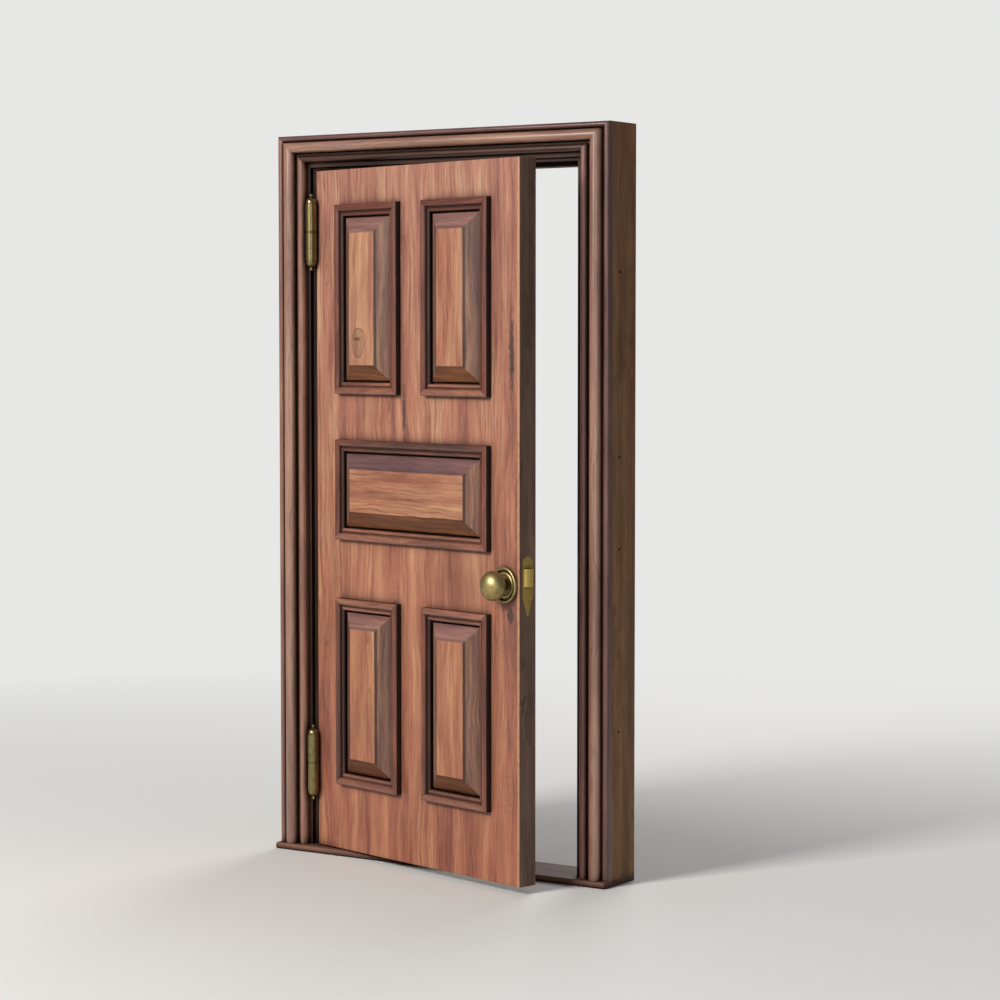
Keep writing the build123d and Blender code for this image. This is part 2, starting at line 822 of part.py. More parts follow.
def knuckle(base, up, play):
    """Half a hinge barrel turned about the pin, with its bore and domed end; up is 1 or -1."""
    start = knuckle_start + play
    neck = barrel_straight + barrel_groove_width
    groove_radius = barrel_radius - barrel_groove_depth
    bore = pin_radius + pin_clearance
    with BuildPart() as turned:
        with BuildSketch(Plane(base.origin, x_dir=base.x_dir, z_dir=base.y_dir * -up)):
            with BuildLine():
                Polyline(
                    (bore, start),
                    (barrel_radius - washer_inset, start),
                    (barrel_radius, start + washer_inset),
                    (barrel_radius, barrel_straight),
                    (groove_radius, barrel_straight),
                    (groove_radius, neck),
                    (barrel_end_radius, neck),
                )
                ThreePointArc(*cap_points(barrel_end_radius, neck, barrel_half_length))
                Polyline((0, barrel_half_length), (0, pin_reach), (bore, pin_reach), (bore, start))
            make_face()
        revolve(axis=Axis(base.origin, base.z_dir))
    return turned.part


def ball_finials(name, bases, up):
    """Small balls on necks that close the barrels' ends, one at each hinge."""
    neck_top = barrel_half_length + finial_neck_height
    top = neck_top + sqrt(finial_radius**2 - finial_neck_radius**2) + finial_radius
    with BuildPart() as finials:
        for base in bases:
            with BuildSketch(Plane(base.origin, x_dir=base.x_dir, z_dir=base.y_dir * -up)):
                with BuildLine():
                    Polyline(
                        (0, top),
                        (0, barrel_half_length),
                        (finial_neck_radius, barrel_half_length),
                        (finial_neck_radius, neck_top),
                    )
                    ThreePointArc(*cap_points(finial_neck_radius, neck_top, top))
                make_face()
            revolve(axis=Axis(base.origin, base.z_dir))
    finish(finials.part, name)


leaf_screw_faces = []
jamb_screw_faces = []
leaf_pivots = []
jamb_pivots = []
flap_start = barrel_radius - overrun
for hinge_name, hinge_height in hinge_heights.items():
    leaf_pivot = on_leaf(Plane((0, 0, hinge_height)))
    jamb_pivot = Plane((pin_x, pin_y, leaf_bottom + hinge_height))
    leaf_pivots.append(leaf_pivot)
    jamb_pivots.append(jamb_pivot)
    leaf_flap = Plane(leaf_pivot.origin, x_dir=leaf_pivot.y_dir, z_dir=leaf_pivot.x_dir)
    jamb_flap = Plane(jamb_pivot.origin, x_dir=jamb_pivot.y_dir * -1, z_dir=jamb_pivot.x_dir * -1)
    with BuildPart() as leaf_half:
        add(knuckle(leaf_pivot, 1, washer_play))
        with BuildSketch(leaf_flap):
            box_between((flap_start, knuckle_start + washer_play), (flap_reach, knuckle_start + flap_height))
        extrude(amount=flap_thickness)
        for height in screw_heights:
            seat = leaf_flap.from_local_coords((flap_reach - hinge_screw_edge, height, 0))
            spot = Plane(seat, z_dir=leaf_flap.z_dir)
            leaf_screw_faces.append(spot)
            with Locations(spot):
                Cone(
                    hinge_screw_head_radius + plate_clearance,
                    hinge_screw_radius + plate_clearance,
                    hinge_screw_head_height,
                    align=(Align.CENTER, Align.CENTER, Align.MIN),
                    mode=Mode.SUBTRACT,
                )
                Cylinder(
                    hinge_screw_radius + plate_clearance,
                    flap_thickness,
                    align=(Align.CENTER, Align.CENTER, Align.MIN),
                    mode=Mode.SUBTRACT,
                )
    finish(leaf_half.part, f"{hinge_name}_leaf_half")
    with BuildPart() as jamb_half:
        add(knuckle(jamb_pivot, -1, 0))
        with BuildSketch(jamb_flap):
            box_between((-jamb_flap_end, -knuckle_start - flap_height), (-flap_start, -knuckle_start))
        extrude(amount=flap_thickness)
        for height in screw_heights:
            seat = jamb_flap.from_local_coords((hinge_screw_edge - jamb_flap_end, -height, 0))
            spot = Plane(seat, z_dir=jamb_flap.z_dir)
            jamb_screw_faces.append(spot)
            with Locations(spot):
                Cone(
                    hinge_screw_head_radius + plate_clearance,
                    hinge_screw_radius + plate_clearance,
                    hinge_screw_head_height,
                    align=(Align.CENTER, Align.CENTER, Align.MIN),
                    mode=Mode.SUBTRACT,
                )
                Cylinder(
                    hinge_screw_radius + plate_clearance,
                    flap_thickness,
                    align=(Align.CENTER, Align.CENTER, Align.MIN),
                    mode=Mode.SUBTRACT,
                )
    finish(jamb_half.part, f"{hinge_name}_jamb_half")

hinge_screw_sizes = (
    hinge_screw_head_radius,
    hinge_screw_head_height,
    hinge_screw_radius,
    hinge_screw_length,
)
wood_screws("leaf_hinge_screws", leaf_screw_faces, *hinge_screw_sizes)
wood_screws("jamb_hinge_screws", jamb_screw_faces, *hinge_screw_sizes)
ball_finials("leaf_hinge_finials", leaf_pivots, 1)
ball_finials("jamb_hinge_finials", jamb_pivots, -1)

with BuildPart() as hinge_pins:
    for jamb_pivot in jamb_pivots:
        with BuildSketch(jamb_pivot.offset(-pin_reach)):
            Circle(pin_radius)
        extrude(amount=2 * pin_reach - washer_thickness)
finish(hinge_pins.part, "hinge_pins")

with BuildPart() as hinge_washers:
    for jamb_pivot in jamb_pivots:
        with BuildSketch(jamb_pivot.offset(-knuckle_start)):
            Circle(barrel_radius - washer_inset)
            Circle(pin_radius + pin_clearance, mode=Mode.SUBTRACT)
        extrude(amount=washer_thickness)
finish(hinge_washers.part, "hinge_washers")


def rosette(name, face, radius, height):
    """A round plate behind a knob: a rolled rim, a groove, an inner ring and a floor round the shank."""
    foot = scaled(rosette_foot_shares, radius, height)
    ring = scaled(rosette_ring_shares, radius, height)
    groove = scaled(rosette_groove_shares, radius, height)
    inner_ring = scaled(rosette_inner_ring_shares, radius, height)
    bore = knob_shank_radius + shank_clearance
    with BuildPart() as plate:
        with BuildSketch(section_through(face)):
            with BuildLine():
                Polyline((bore, 0), *foot)
                ThreePointArc(*ring)
                Polyline(ring[-1], *groove)
                ThreePointArc(*inner_ring)
                Polyline(inner_ring[-1], (bore, inner_ring[-1][1]), (bore, 0))
            make_face()
        revolve(axis=Axis(face.origin, face.z_dir))
    finish(plate.part, name)


def knob(name, face, radius, half_length, reach, rosette_height):
    """A flattened ball on a waisted neck, with a shank turning in its rosette and a spindle socket."""
    neck_angle = radians(knob_neck_angle)
    shoulder = (radius * cos(neck_angle), reach - half_length * sin(neck_angle))
    neck_start = rosette_inner_ring_shares[-1][1] * rosette_height + shank_end_gap
    waist = (knob_neck_radius, shoulder[1] + (neck_start - shoulder[1]) * neck_waist_share)
    steps = [-neck_angle + (radians(90) + neck_angle) * share for share in knob_round_shares]
    ball = [(radius * cos(step), reach + half_length * sin(step)) for step in steps]
    with BuildPart() as handle:
        with BuildSketch(section_through(face)):
            with BuildLine():
                Polyline(
                    (0, reach + half_length),
                    (0, 0),
                    (knob_shank_radius, 0),
                    (knob_shank_radius, neck_start),
                    (knob_neck_radius, neck_start),
                    waist,
                    shoulder,
                )
                Spline(shoulder, *ball, (0, reach + half_length))
            make_face()
        revolve(axis=Axis(face.origin, face.z_dir))
        with BuildSketch(face):
            Rectangle(spindle_size + 2 * spindle_clearance, spindle_size + 2 * spindle_clearance)
        extrude(amount=spindle_socket_depth, mode=Mode.SUBTRACT)
    finish(handle.part, name)


rosette("front_rosette", front_knob_face, front_rosette_radius, front_rosette_height)
rosette("back_rosette", back_knob_face, back_rosette_radius, back_rosette_height)
knob(
    "front_knob",
    front_knob_face,
    front_knob_radius,
    front_knob_half_length,
    front_knob_reach,
    front_rosette_height,
)
knob(
    "back_knob",
    back_knob_face,
    back_knob_radius,
    back_knob_half_length,
    back_knob_reach,
    back_rosette_height,
)

with BuildPart() as spindle:
    with BuildSketch(front_knob_face.offset(spindle_socket_depth)):
        Rectangle(spindle_size, spindle_size)
    extrude(amount=-(leaf_thickness + 2 * spindle_socket_depth))
finish(spindle.part, "spindle")

# Latch: face plate, case, hub with its finger, and the bolt with its tail
with BuildPart() as latch_plate:
    with BuildSketch(lock_edge):
        add(latch_plate_outline(0))
        with Locations((0, bolt_middle)):
            Rectangle(
                bolt_thickness + 2 * bolt_clearance, bolt_height + 2 * bolt_clearance, mode=Mode.SUBTRACT
            )
    extrude(amount=-latch_plate_thickness)
finish(latch_plate.part, "latch_plate")

with BuildPart() as lock_case:
    with BuildSketch(case_face):
        with Locations((0, case_middle)):
            Rectangle(case_thickness, case_height)
    extrude(amount=-case_depth)
    with BuildSketch(case_face.offset(-case_wall)):
        with Locations((0, case_middle)):
            Rectangle(case_thickness - 2 * case_wall, case_height - 2 * case_wall)
    extrude(amount=-(case_depth - 2 * case_wall), mode=Mode.SUBTRACT)
    with BuildSketch(case_face):
        with Locations((0, bolt_middle)):
            Rectangle(bolt_thickness + 2 * bolt_clearance, bolt_height + 2 * bolt_clearance)
    extrude(amount=-case_wall, mode=Mode.SUBTRACT)
    with BuildSketch(front_knob_face):
        Circle(hub_journal_radius + hub_clearance)
    extrude(amount=-leaf_thickness, mode=Mode.SUBTRACT)
finish(lock_case.part, "lock_case")

hub_middle = front_knob_face.offset(-leaf_thickness / 2)
with BuildPart() as latch_hub:
    with BuildSketch(hub_middle):
        Circle(hub_radius)
        with Locations((0, finger_reach / 2)):
            Rectangle(finger_width, finger_reach)
    extrude(amount=hub_thickness / 2, both=True)
    with BuildSketch(hub_middle):
        Circle(hub_journal_radius)
    extrude(amount=case_thickness / 2, both=True)
    with BuildSketch(hub_middle):
        Rectangle(spindle_size + 2 * spindle_clearance, spindle_size + 2 * spindle_clearance)
    extrude(amount=case_thickness, both=True, mode=Mode.SUBTRACT)
finish(latch_hub.part, "latch_hub")

lug_face = -finger_width / 2 - finger_play
tail_end = lug_face - tail_lug_width
bolt_back = knob_backset - bolt_body_length
with BuildPart() as latch_bolt:
    with BuildSketch(lock_edge):
        with Locations((0, bolt_middle)):
            Rectangle(bolt_thickness, bolt_height)
    extrude(amount=-bolt_body_length)
    nose_foot = lock_edge.from_local_coords((0, -bolt_low, 0))
    nose_plane = Plane(nose_foot, x_dir=lock_edge.x_dir, z_dir=lock_edge.y_dir)
    with BuildSketch(nose_plane):
        with BuildLine():
            half = bolt_thickness / 2
            crest = half * nose_crest_share
            ThreePointArc((-half, 0), (0, -bolt_nose * nose_crest_share), (crest, -bolt_nose))
            Polyline((crest, -bolt_nose), (half, -bolt_nose * nose_ease_share), (half, 0), (-half, 0))
        make_face()
    extrude(amount=bolt_height)
    with BuildSketch(hub_middle):
        box_between((tail_end, tail_low), (bolt_back, tail_low + tail_height))
        box_between((tail_end, tail_low - tail_lug_drop), (lug_face, tail_low))
    extrude(amount=hub_thickness / 2, both=True)
finish(latch_bolt.part, "latch_bolt")
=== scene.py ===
"""Looks of a panelled front door ajar in its moulded frame: varnished wood, aged brass, a pale studio."""

import logging
import math
from dataclasses import dataclass, field, replace
from enum import Enum, IntEnum

import bpy
from mathutils import Matrix, Vector


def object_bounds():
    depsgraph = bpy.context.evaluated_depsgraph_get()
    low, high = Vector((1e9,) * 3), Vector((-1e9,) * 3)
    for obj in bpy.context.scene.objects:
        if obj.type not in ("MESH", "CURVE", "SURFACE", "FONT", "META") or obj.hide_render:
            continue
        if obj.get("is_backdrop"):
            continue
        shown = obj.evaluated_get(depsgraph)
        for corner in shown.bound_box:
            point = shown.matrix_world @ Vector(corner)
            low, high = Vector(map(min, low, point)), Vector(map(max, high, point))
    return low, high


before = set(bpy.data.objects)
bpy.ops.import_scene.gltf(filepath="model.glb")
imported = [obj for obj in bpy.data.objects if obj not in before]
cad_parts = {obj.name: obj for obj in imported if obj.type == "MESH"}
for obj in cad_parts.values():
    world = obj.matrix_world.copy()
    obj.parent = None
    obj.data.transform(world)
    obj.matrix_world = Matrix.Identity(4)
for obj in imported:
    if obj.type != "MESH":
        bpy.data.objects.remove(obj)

Triple = tuple[float, float, float]
Colour = Triple
Stops = tuple[tuple[float, Colour], ...]
Socket = bpy.types.NodeSocket
Inputs = dict[str | int, object]

LOG = logging.getLogger("door")
OPEN_ANGLE = math.radians(15.4)
DOOR_MIDDLE: Triple = (0.0, 0.0, 1.1)

# Depths and heights on the shut leaf, in metres
FRONT_DEPTHS = (-0.070, -0.082)
# Depths of the step round a front field, along which a shadow is painted
SHOULDER_DEPTHS = (-0.1352, -0.1362)
LEAF_HEIGHTS = (0.1, 2.0)

# Places of the colour sockets on a mixing node
MIX_FIRST = 6
MIX_SECOND = 7
MIX_RESULT = 2

# Edges and corners
EDGE_TURNS = (0.995, 0.85)
EDGE_SAMPLES = 4
CORNER_SAMPLES = 6
WOOD_EDGE = 0.0012
METAL_EDGE = 0.0008


@dataclass(frozen=True)
class Layer:
    """A noise pattern, and the range of its values that is used.

    Attributes:
        scale: Features per metre along each axis.
        detail: Octaves.
        rough: Weight of the finer octaves.
        span: The range's start and end.
    """

    scale: Triple
    detail: float
    rough: float
    span: tuple[float, float]


# Figure of the timber, with the grain along the third axis
BANDS = Layer((23.0, 23.0, 1.7), 4.0, 0.66, (0.33, 0.67))
PATCHES = Layer((9.0, 9.0, 2.0), 3.0, 0.6, (0.5, 0.64))
STREAKS = Layer((85.0, 85.0, 4.0), 4.0, 0.72, (0.3, 0.7))
RING_PLACES = Layer((5.0, 5.0, 1.2), 2.0, 0.55, (0.42, 0.62))
FIBRES = Layer((210.0, 210.0, 14.0), 4.0, 0.75, (0.5, 0.72))
SPLITS = Layer((42.0, 42.0, 1.6), 3.0, 0.6, (0.69, 0.76))
SWAYS = Layer((4.0, 4.0, 2.4), 3.0, 0.55, (0.2, 0.8))
SHEEN = Layer((14.0, 14.0, 4.9), 2.0, 0.55, (0.3, 0.7))

# Outlines of the flaws, aged metal and the floor
FRAYS = Layer((160.0, 0.0, 48.0), 3.0, 0.7, (0.35, 0.65))
BENDS = Layer((42.0, 0.0, 25.2), 2.0, 0.55, (0.3, 0.7))
BLOOM = Layer((55.0, 55.0, 55.0), 4.0, 0.62, (0.3, 0.7))
SPECKS = Layer((420.0, 420.0, 420.0), 2.0, 0.6, (0.6, 0.75))
FLOOR_SPECKS = Layer((9.0, 9.0, 9.0), 4.0, 0.55, (0.3, 0.7))

# Tints of the streaks, and how the growth rings and fibres are drawn
GREY_STREAKS: Stops = (
    (0.0, (0.5, 0.46, 0.46)),
    (0.4, (0.86, 0.84, 0.84)),
    (0.7, (1.0, 1.0, 1.0)),
    (1.0, (1.16, 1.16, 1.12)),
)
RING_STRETCH: Triple = (1.0, 0.4, 0.1)
RING_WAVE = {"Scale": 22.0, "Distortion": 9.0, "Detail": 3.0, "Detail Scale": 1.5}
RING_EDGE = 0.6
RING_RISE = -0.4
FIBRE_SHARE = 0.5
PALE_FIBRES = (0.46, 0.3, 0.0, 0.35)

# Knots scattered through the timber, by distance from their hearts
SCATTER: Triple = (5.2, 5.2, 2.0)
SCATTER_HEART = (0.07, 0.03)
SCATTER_RIPPLE = 170.0
SCATTER_LINES = (0.0, 0.9)
SCATTER_HALO = (0.17, 0.06)
SCATTER_SHARE = 0.6

# Varnish
SHEEN_SPREAD = (-0.06, 0.08)
WOOD_RELIEF = (0.0005, 0.35)
COAT_ROUGH = 0.22
MARK_SHARE = 0.85

# Aged metal
BRIGHT_FROM = 0.55
SPECK_SHARE = 0.5
METAL_CORNERS = (0.25, 0.85)
METAL_RELIEF = (0.00012, 0.25)

# Flaws at known places, as shares of their size
STAIN_FILL = (1.0, 0.2, 0.0, 0.45)
EYE_GREY: Colour = (0.090, 0.050, 0.036)
EYE_BEND = 0.1
EYE_RIM = 0.92
EYE_LINE = (0.11, 0.02, 0.0, 0.8)
EYE_FILL = (1.0, 0.85, 0.0, 0.36)
KNOT_BEND = 0.3
KNOT_RIPPLE = 15.0
KNOT_LINES = (0.1, 1.0)
KNOT_HALO = (1.25, 0.6)
KNOT_HEART = (0.3, 0.1, 0.0, 0.6)
KNOT_SHARE = 0.4


class Grain(Enum):
    """The way a piece's grain runs, as the turn that stands it upright."""

    UPRIGHT = (0.0, 0.0, 0.0)
    LEVEL = (0.0, math.pi / 2, 0.0)


class Setting(Enum):
    """What a piece is fixed in, as the turn about the upright that squares it up."""

    FRAME = 0.0
    LEAF = OPEN_ANGLE


class CasingFace(IntEnum):
    """Parts of a casing, in the order of its materials."""

    ROUND = 0
    OUTER_BEAD = 1
    INNER_BEAD = 2


class JambFace(IntEnum):
    """Parts of a jamb, in the order of its materials."""

    REBATE = 0
    OUTSIDE = 1


class LeafFace(IntEnum):
    """Parts of the leaf's framing, in the order of its materials."""

    FACE = 0
    EDGE = 1


class PanelFace(IntEnum):
    """Parts of a panel, in the order of its materials."""

    FIELD = 0
    TOP_BEVEL = 1
    FOOT_BEVEL = 2
    SIDE_BEVEL = 3


class BarFace(IntEnum):
    """Parts of a moulding, in the order of its materials."""

    UPRIGHT = 0
    TOP = 1
    FOOT = 2
    WALL = 3
    SHADED_BEAD = 4


class Graph:
    """The shader nodes of one material, added and joined one after another."""

    def __init__(self, name: str) -> None:
        """Start an empty material.

        Args:
            name: The material's name.
        """
        self.material = bpy.data.materials.new(name)
        self.material.use_nodes = True
        self.tree = self.material.node_tree
        self.tree.nodes.clear()

    def node(self, kind: str, inputs: Inputs | None = None, **settings: object) -> bpy.types.Node:
        """Add a node, set its properties and feed its inputs.

        Args:
            kind: The node's type, without the leading "ShaderNode".
            inputs: What its inputs are fed, by their name or place.
            settings: Properties of the node.

        Returns:
            The new node.
        """
        made = self.tree.nodes.new("ShaderNode" + kind)
        for key, value in settings.items():
            setattr(made, key, value)
        for key, value in (inputs or {}).items():
            self.feed(made.inputs[key], value)
        return made

    def feed(self, socket: Socket, value: object) -> None:
        """Give an input a constant, or join another node's output to it.

        Args:
            socket: The input.
            value: A number, a colour, a vector or an output socket.
        """
        if isinstance(value, Socket):
            self.tree.links.new(value, socket)
        elif isinstance(value, tuple) and socket.type == "RGBA":
            socket.default_value = (*value, 1.0)
        else:
            socket.default_value = value

    def coordinates(self) -> Socket:
        """Add the object's own coordinates, in metres.

        Returns:
            The coordinates' output.
        """
        return self.node("TexCoord").outputs["Object"]

    def mapping(
        self,
        vector: Socket,
        shift: Triple = (0.0, 0.0, 0.0),
        turn: Triple = (0.0, 0.0, 0.0),
        scale: Triple = (1.0, 1.0, 1.0),
    ) -> Socket:
        """Shift, turn and scale coordinates.

        Args:
            vector: The coordinates.
            shift: Shift, added last.
            turn: Euler angles in radians.
            scale: Scale, applied first.

        Returns:
            The changed coordinates.
        """
        inputs = {"Vector": vector, "Location": shift, "Rotation": turn, "Scale": scale}
        return self.node("Mapping", inputs).outputs["Vector"]

    def noise(self, vector: Socket, layer: Layer) -> Socket:
        """Add a noise pattern.

        Args:
            vector: Its coordinates.
            layer: The pattern.

        Returns:
            The pattern's value.
        """
        place = self.mapping(vector, scale=layer.scale)
        inputs = {"Vector": place, "Scale": 1.0, "Detail": layer.detail, "Roughness": layer.rough}
        return self.node("TexNoise", inputs).outputs["Fac"]

    def ramp(self, factor: Socket, stops: Stops) -> Socket:
        """Turn a value into a colour.

        Args:
            factor: The value.
            stops: Places from 0 to 1 and their colours.

        Returns:
            The colour.
        """
        made = self.node("ValToRGB", {"Fac": factor})
        band = made.color_ramp
        while len(band.elements) < len(stops):
            band.elements.new(0.5)
        for element, (place, colour) in zip(band.elements, stops):
            element.position = place
            element.color = (*colour, 1.0)
        return made.outputs["Color"]

    def between(
        self, factor: Socket, low: float, high: float, start: float = 0.0, end: float = 1.0
    ) -> Socket:
        """Spread a value from one range to another.

        Args:
            factor: The value.
            low: The old range's start.
            high: The old range's end.
            start: The new range's start.
            end: The new range's end.

        Returns:
            The value in the new range, clamped.
        """
        ranges = {"From Min": low, "From Max": high, "To Min": start, "To Max": end}
        return self.node("MapRange", {"Value": factor, **ranges}, clamp=True).outputs["Result"]

    def mix(self, factor: object, first: object, second: object, blend: str = "MIX") -> Socket:
        """Mix two colours.

        Args:
            factor: How much of the second, as a number or an output.
            first: A colour.
            second: A colour.
            blend: The way of mixing.

        Returns:
            The mixed colour.
        """
        inputs = {0: factor, MIX_FIRST: first, MIX_SECOND: second}
        return self.node("Mix", inputs, data_type="RGBA", blend_type=blend).outputs[MIX_RESULT]

    def maths(self, operation: str, first: object, second: object = 0.0) -> Socket:
        """Work out a sum.

        Args:
            operation: The operation's name.
            first: A number or an output.
            second: A number or an output.

        Returns:
            The result.
        """
        return self.node("Math", {0: first, 1: second}, operation=operation).outputs[0]

    def part(self, vector: Socket, axis: str) -> Socket:
        """Take one part of some coordinates.

        Args:
            vector: The coordinates.
            axis: "X", "Y" or "Z".

        Returns:
            The part along that axis.
        """
        return self.node("SeparateXYZ", {0: vector}).outputs[axis]

    def crevices(self, reach: float) -> Socket:
        """Add how open a surface lies: 1 in the open, less in a corner.

        Args:
            reach: How near a surface has to be to count, in metres.

        Returns:
            The openness.
        """
        made = self.node("AmbientOcclusion", {"Distance": reach}, samples=CORNER_SAMPLES)
        return made.outputs["AO"]

    def eased_normal(self, radius: float) -> Socket:
        """Add a normal that runs round the edges.

        Args:
            radius: The edges' radius in metres.

        Returns:
            The normal.
        """
        return self.node("Bevel", {"Radius": radius}, samples=EDGE_SAMPLES).outputs["Normal"]

    def edges(self, eased: Socket) -> Socket:
        """Add where the edges are: 0 on a flat face, more along an edge.

        Args:
            eased: A normal that runs round the edges.

        Returns:
            The edges.
        """
        plain = self.node("NewGeometry").outputs["Normal"]
        made = self.node("VectorMath", {0: eased, 1: plain}, operation="DOT_PRODUCT")
        return self.between(made.outputs["Value"], *EDGE_TURNS)

    def bump(self, height: Socket, depth: float, strength: float, normal: Socket) -> Socket:
        """Raise a surface by a pattern.

        Args:
            height: The pattern.
            depth: Its depth in metres.
            strength: How much of it shows.
            normal: The normal it stands on.

        Returns:
            The raised normal.
        """
        inputs = {"Height": height, "Distance": depth, "Strength": strength, "Normal": normal}
        return self.node("Bump", inputs).outputs["Normal"]

    def surface(self, **inputs: object) -> bpy.types.Material:
        """Close the material with a surface.

        Args:
            inputs: The surface's inputs, with spaces in their names written as underscores.

        Returns:
            The material.
        """
        named = {key.replace("_", " "): value for key, value in inputs.items()}
        shader = self.node("BsdfPrincipled", named)
        self.node("OutputMaterial", {"Surface": shader.outputs["BSDF"]})
        return self.material


class Flaw(Enum):
    """Kinds of flaw in timber and in its varnish, and a painted highlight."""

    KNOT = "knot"
    EYE = "eye"
    CRACK = "crack"
    GOUGE = "gouge"
    STAIN = "stain"
    # A painted highlight along an arris, not a flaw
    ARRIS_HIGHLIGHT = "arris_highlight"


@dataclass(frozen=True)
class Outline:
    """The ragged outline of a flaw, in shares of the flaw's size.

    Attributes:
        bulge: How far it bulges out.
        notch: How far it is notched.
        core: Distance from the middle up to which the flaw is full.
    """

    bulge: float
    notch: float
    core: float


OUTLINES = {
    Flaw.CRACK: Outline(0.6, 0.4, 0.55),
    Flaw.GOUGE: Outline(0.25, 0.25, 0.7),
    Flaw.ARRIS_HIGHLIGHT: Outline(0.3, 0.5, 0.4),
}


@dataclass(frozen=True)
class Mark:
    """A flaw, or a painted highlight, at a known place on the front of the leaf.

    Attributes:
        flaw: Its kind.
        across: Its place along the shut leaf, in metres.
        up: Its height in metres.
        half_width: Half its width.
        half_height: Half its height.
    """

    flaw: Flaw
    across: float
    up: float
    half_width: float
    half_height: float

    def mask(self, graph: Graph, square: Socket) -> Socket:
        """Draw the flaw.

        Args:
            graph: The material's nodes.
            square: Coordinates squared up with the leaf.

        Returns:
            Where the flaw is, from 0 to 1.
        """
        scale = (1.0 / self.half_width, 0.0, 1.0 / self.half_height)
        shift = (-self.across / self.half_width, 0.0, -self.up / self.half_height)
        place = graph.mapping(square, shift=shift, scale=scale)
        away = graph.node("VectorMath", {0: place}, operation="LENGTH").outputs["Value"]
        front = graph.between(graph.part(square, "Y"), *FRONT_DEPTHS)
        return graph.maths("MULTIPLY", front, self._drawn(graph, square, place, away))

    def _drawn(self, graph: Graph, square: Socket, place: Socket, away: Socket) -> Socket:
        """Draw the flaw's kind.

        Args:
            graph: The material's nodes.
            square: Coordinates squared up with the leaf.
            place: Coordinates that run from -1 to 1 over the flaw.
            away: Distance from the flaw's middle, 1 at its rim.

        Returns:
            Where the flaw is on either face, from 0 to 1.
        """
        if self.flaw is Flaw.STAIN:
            return graph.between(away, *STAIN_FILL)
        if self.flaw in OUTLINES:
            reach = away
            if self.flaw is not Flaw.CRACK:
                reach = graph.maths("ABSOLUTE", graph.part(place, "X"))
            if self.flaw is Flaw.GOUGE:
                reach = graph.maths("ADD", reach, graph.maths("ABSOLUTE", graph.part(place, "Z")))
            edge = OUTLINES[self.flaw]
            frays = graph.between(graph.noise(square, FRAYS), *FRAYS.span, -edge.bulge, edge.notch)
            return graph.between(graph.maths("ADD", reach, frays), 1.0, edge.core)
        bend = EYE_BEND if self.flaw is Flaw.EYE else KNOT_BEND
        bends = graph.between(graph.noise(square, BENDS), *BENDS.span, -bend, bend)
        bent = graph.maths("ADD", away, bends)
        if self.flaw is Flaw.EYE:
            off_rim = graph.maths("ABSOLUTE", graph.maths("SUBTRACT", bent, EYE_RIM))
            rim = graph.between(off_rim, *EYE_LINE)
            return graph.maths("MAXIMUM", rim, graph.between(bent, *EYE_FILL))
        rings = graph.maths("SINE", graph.maths("MULTIPLY", bent, KNOT_RIPPLE))
        lines = graph.between(rings, *KNOT_LINES)
        drawn = graph.maths("MULTIPLY", lines, graph.between(away, *KNOT_HALO))
        heart = graph.between(bent, *KNOT_HEART)
        return graph.maths("MAXIMUM", heart, graph.maths("MULTIPLY", drawn, KNOT_SHARE))


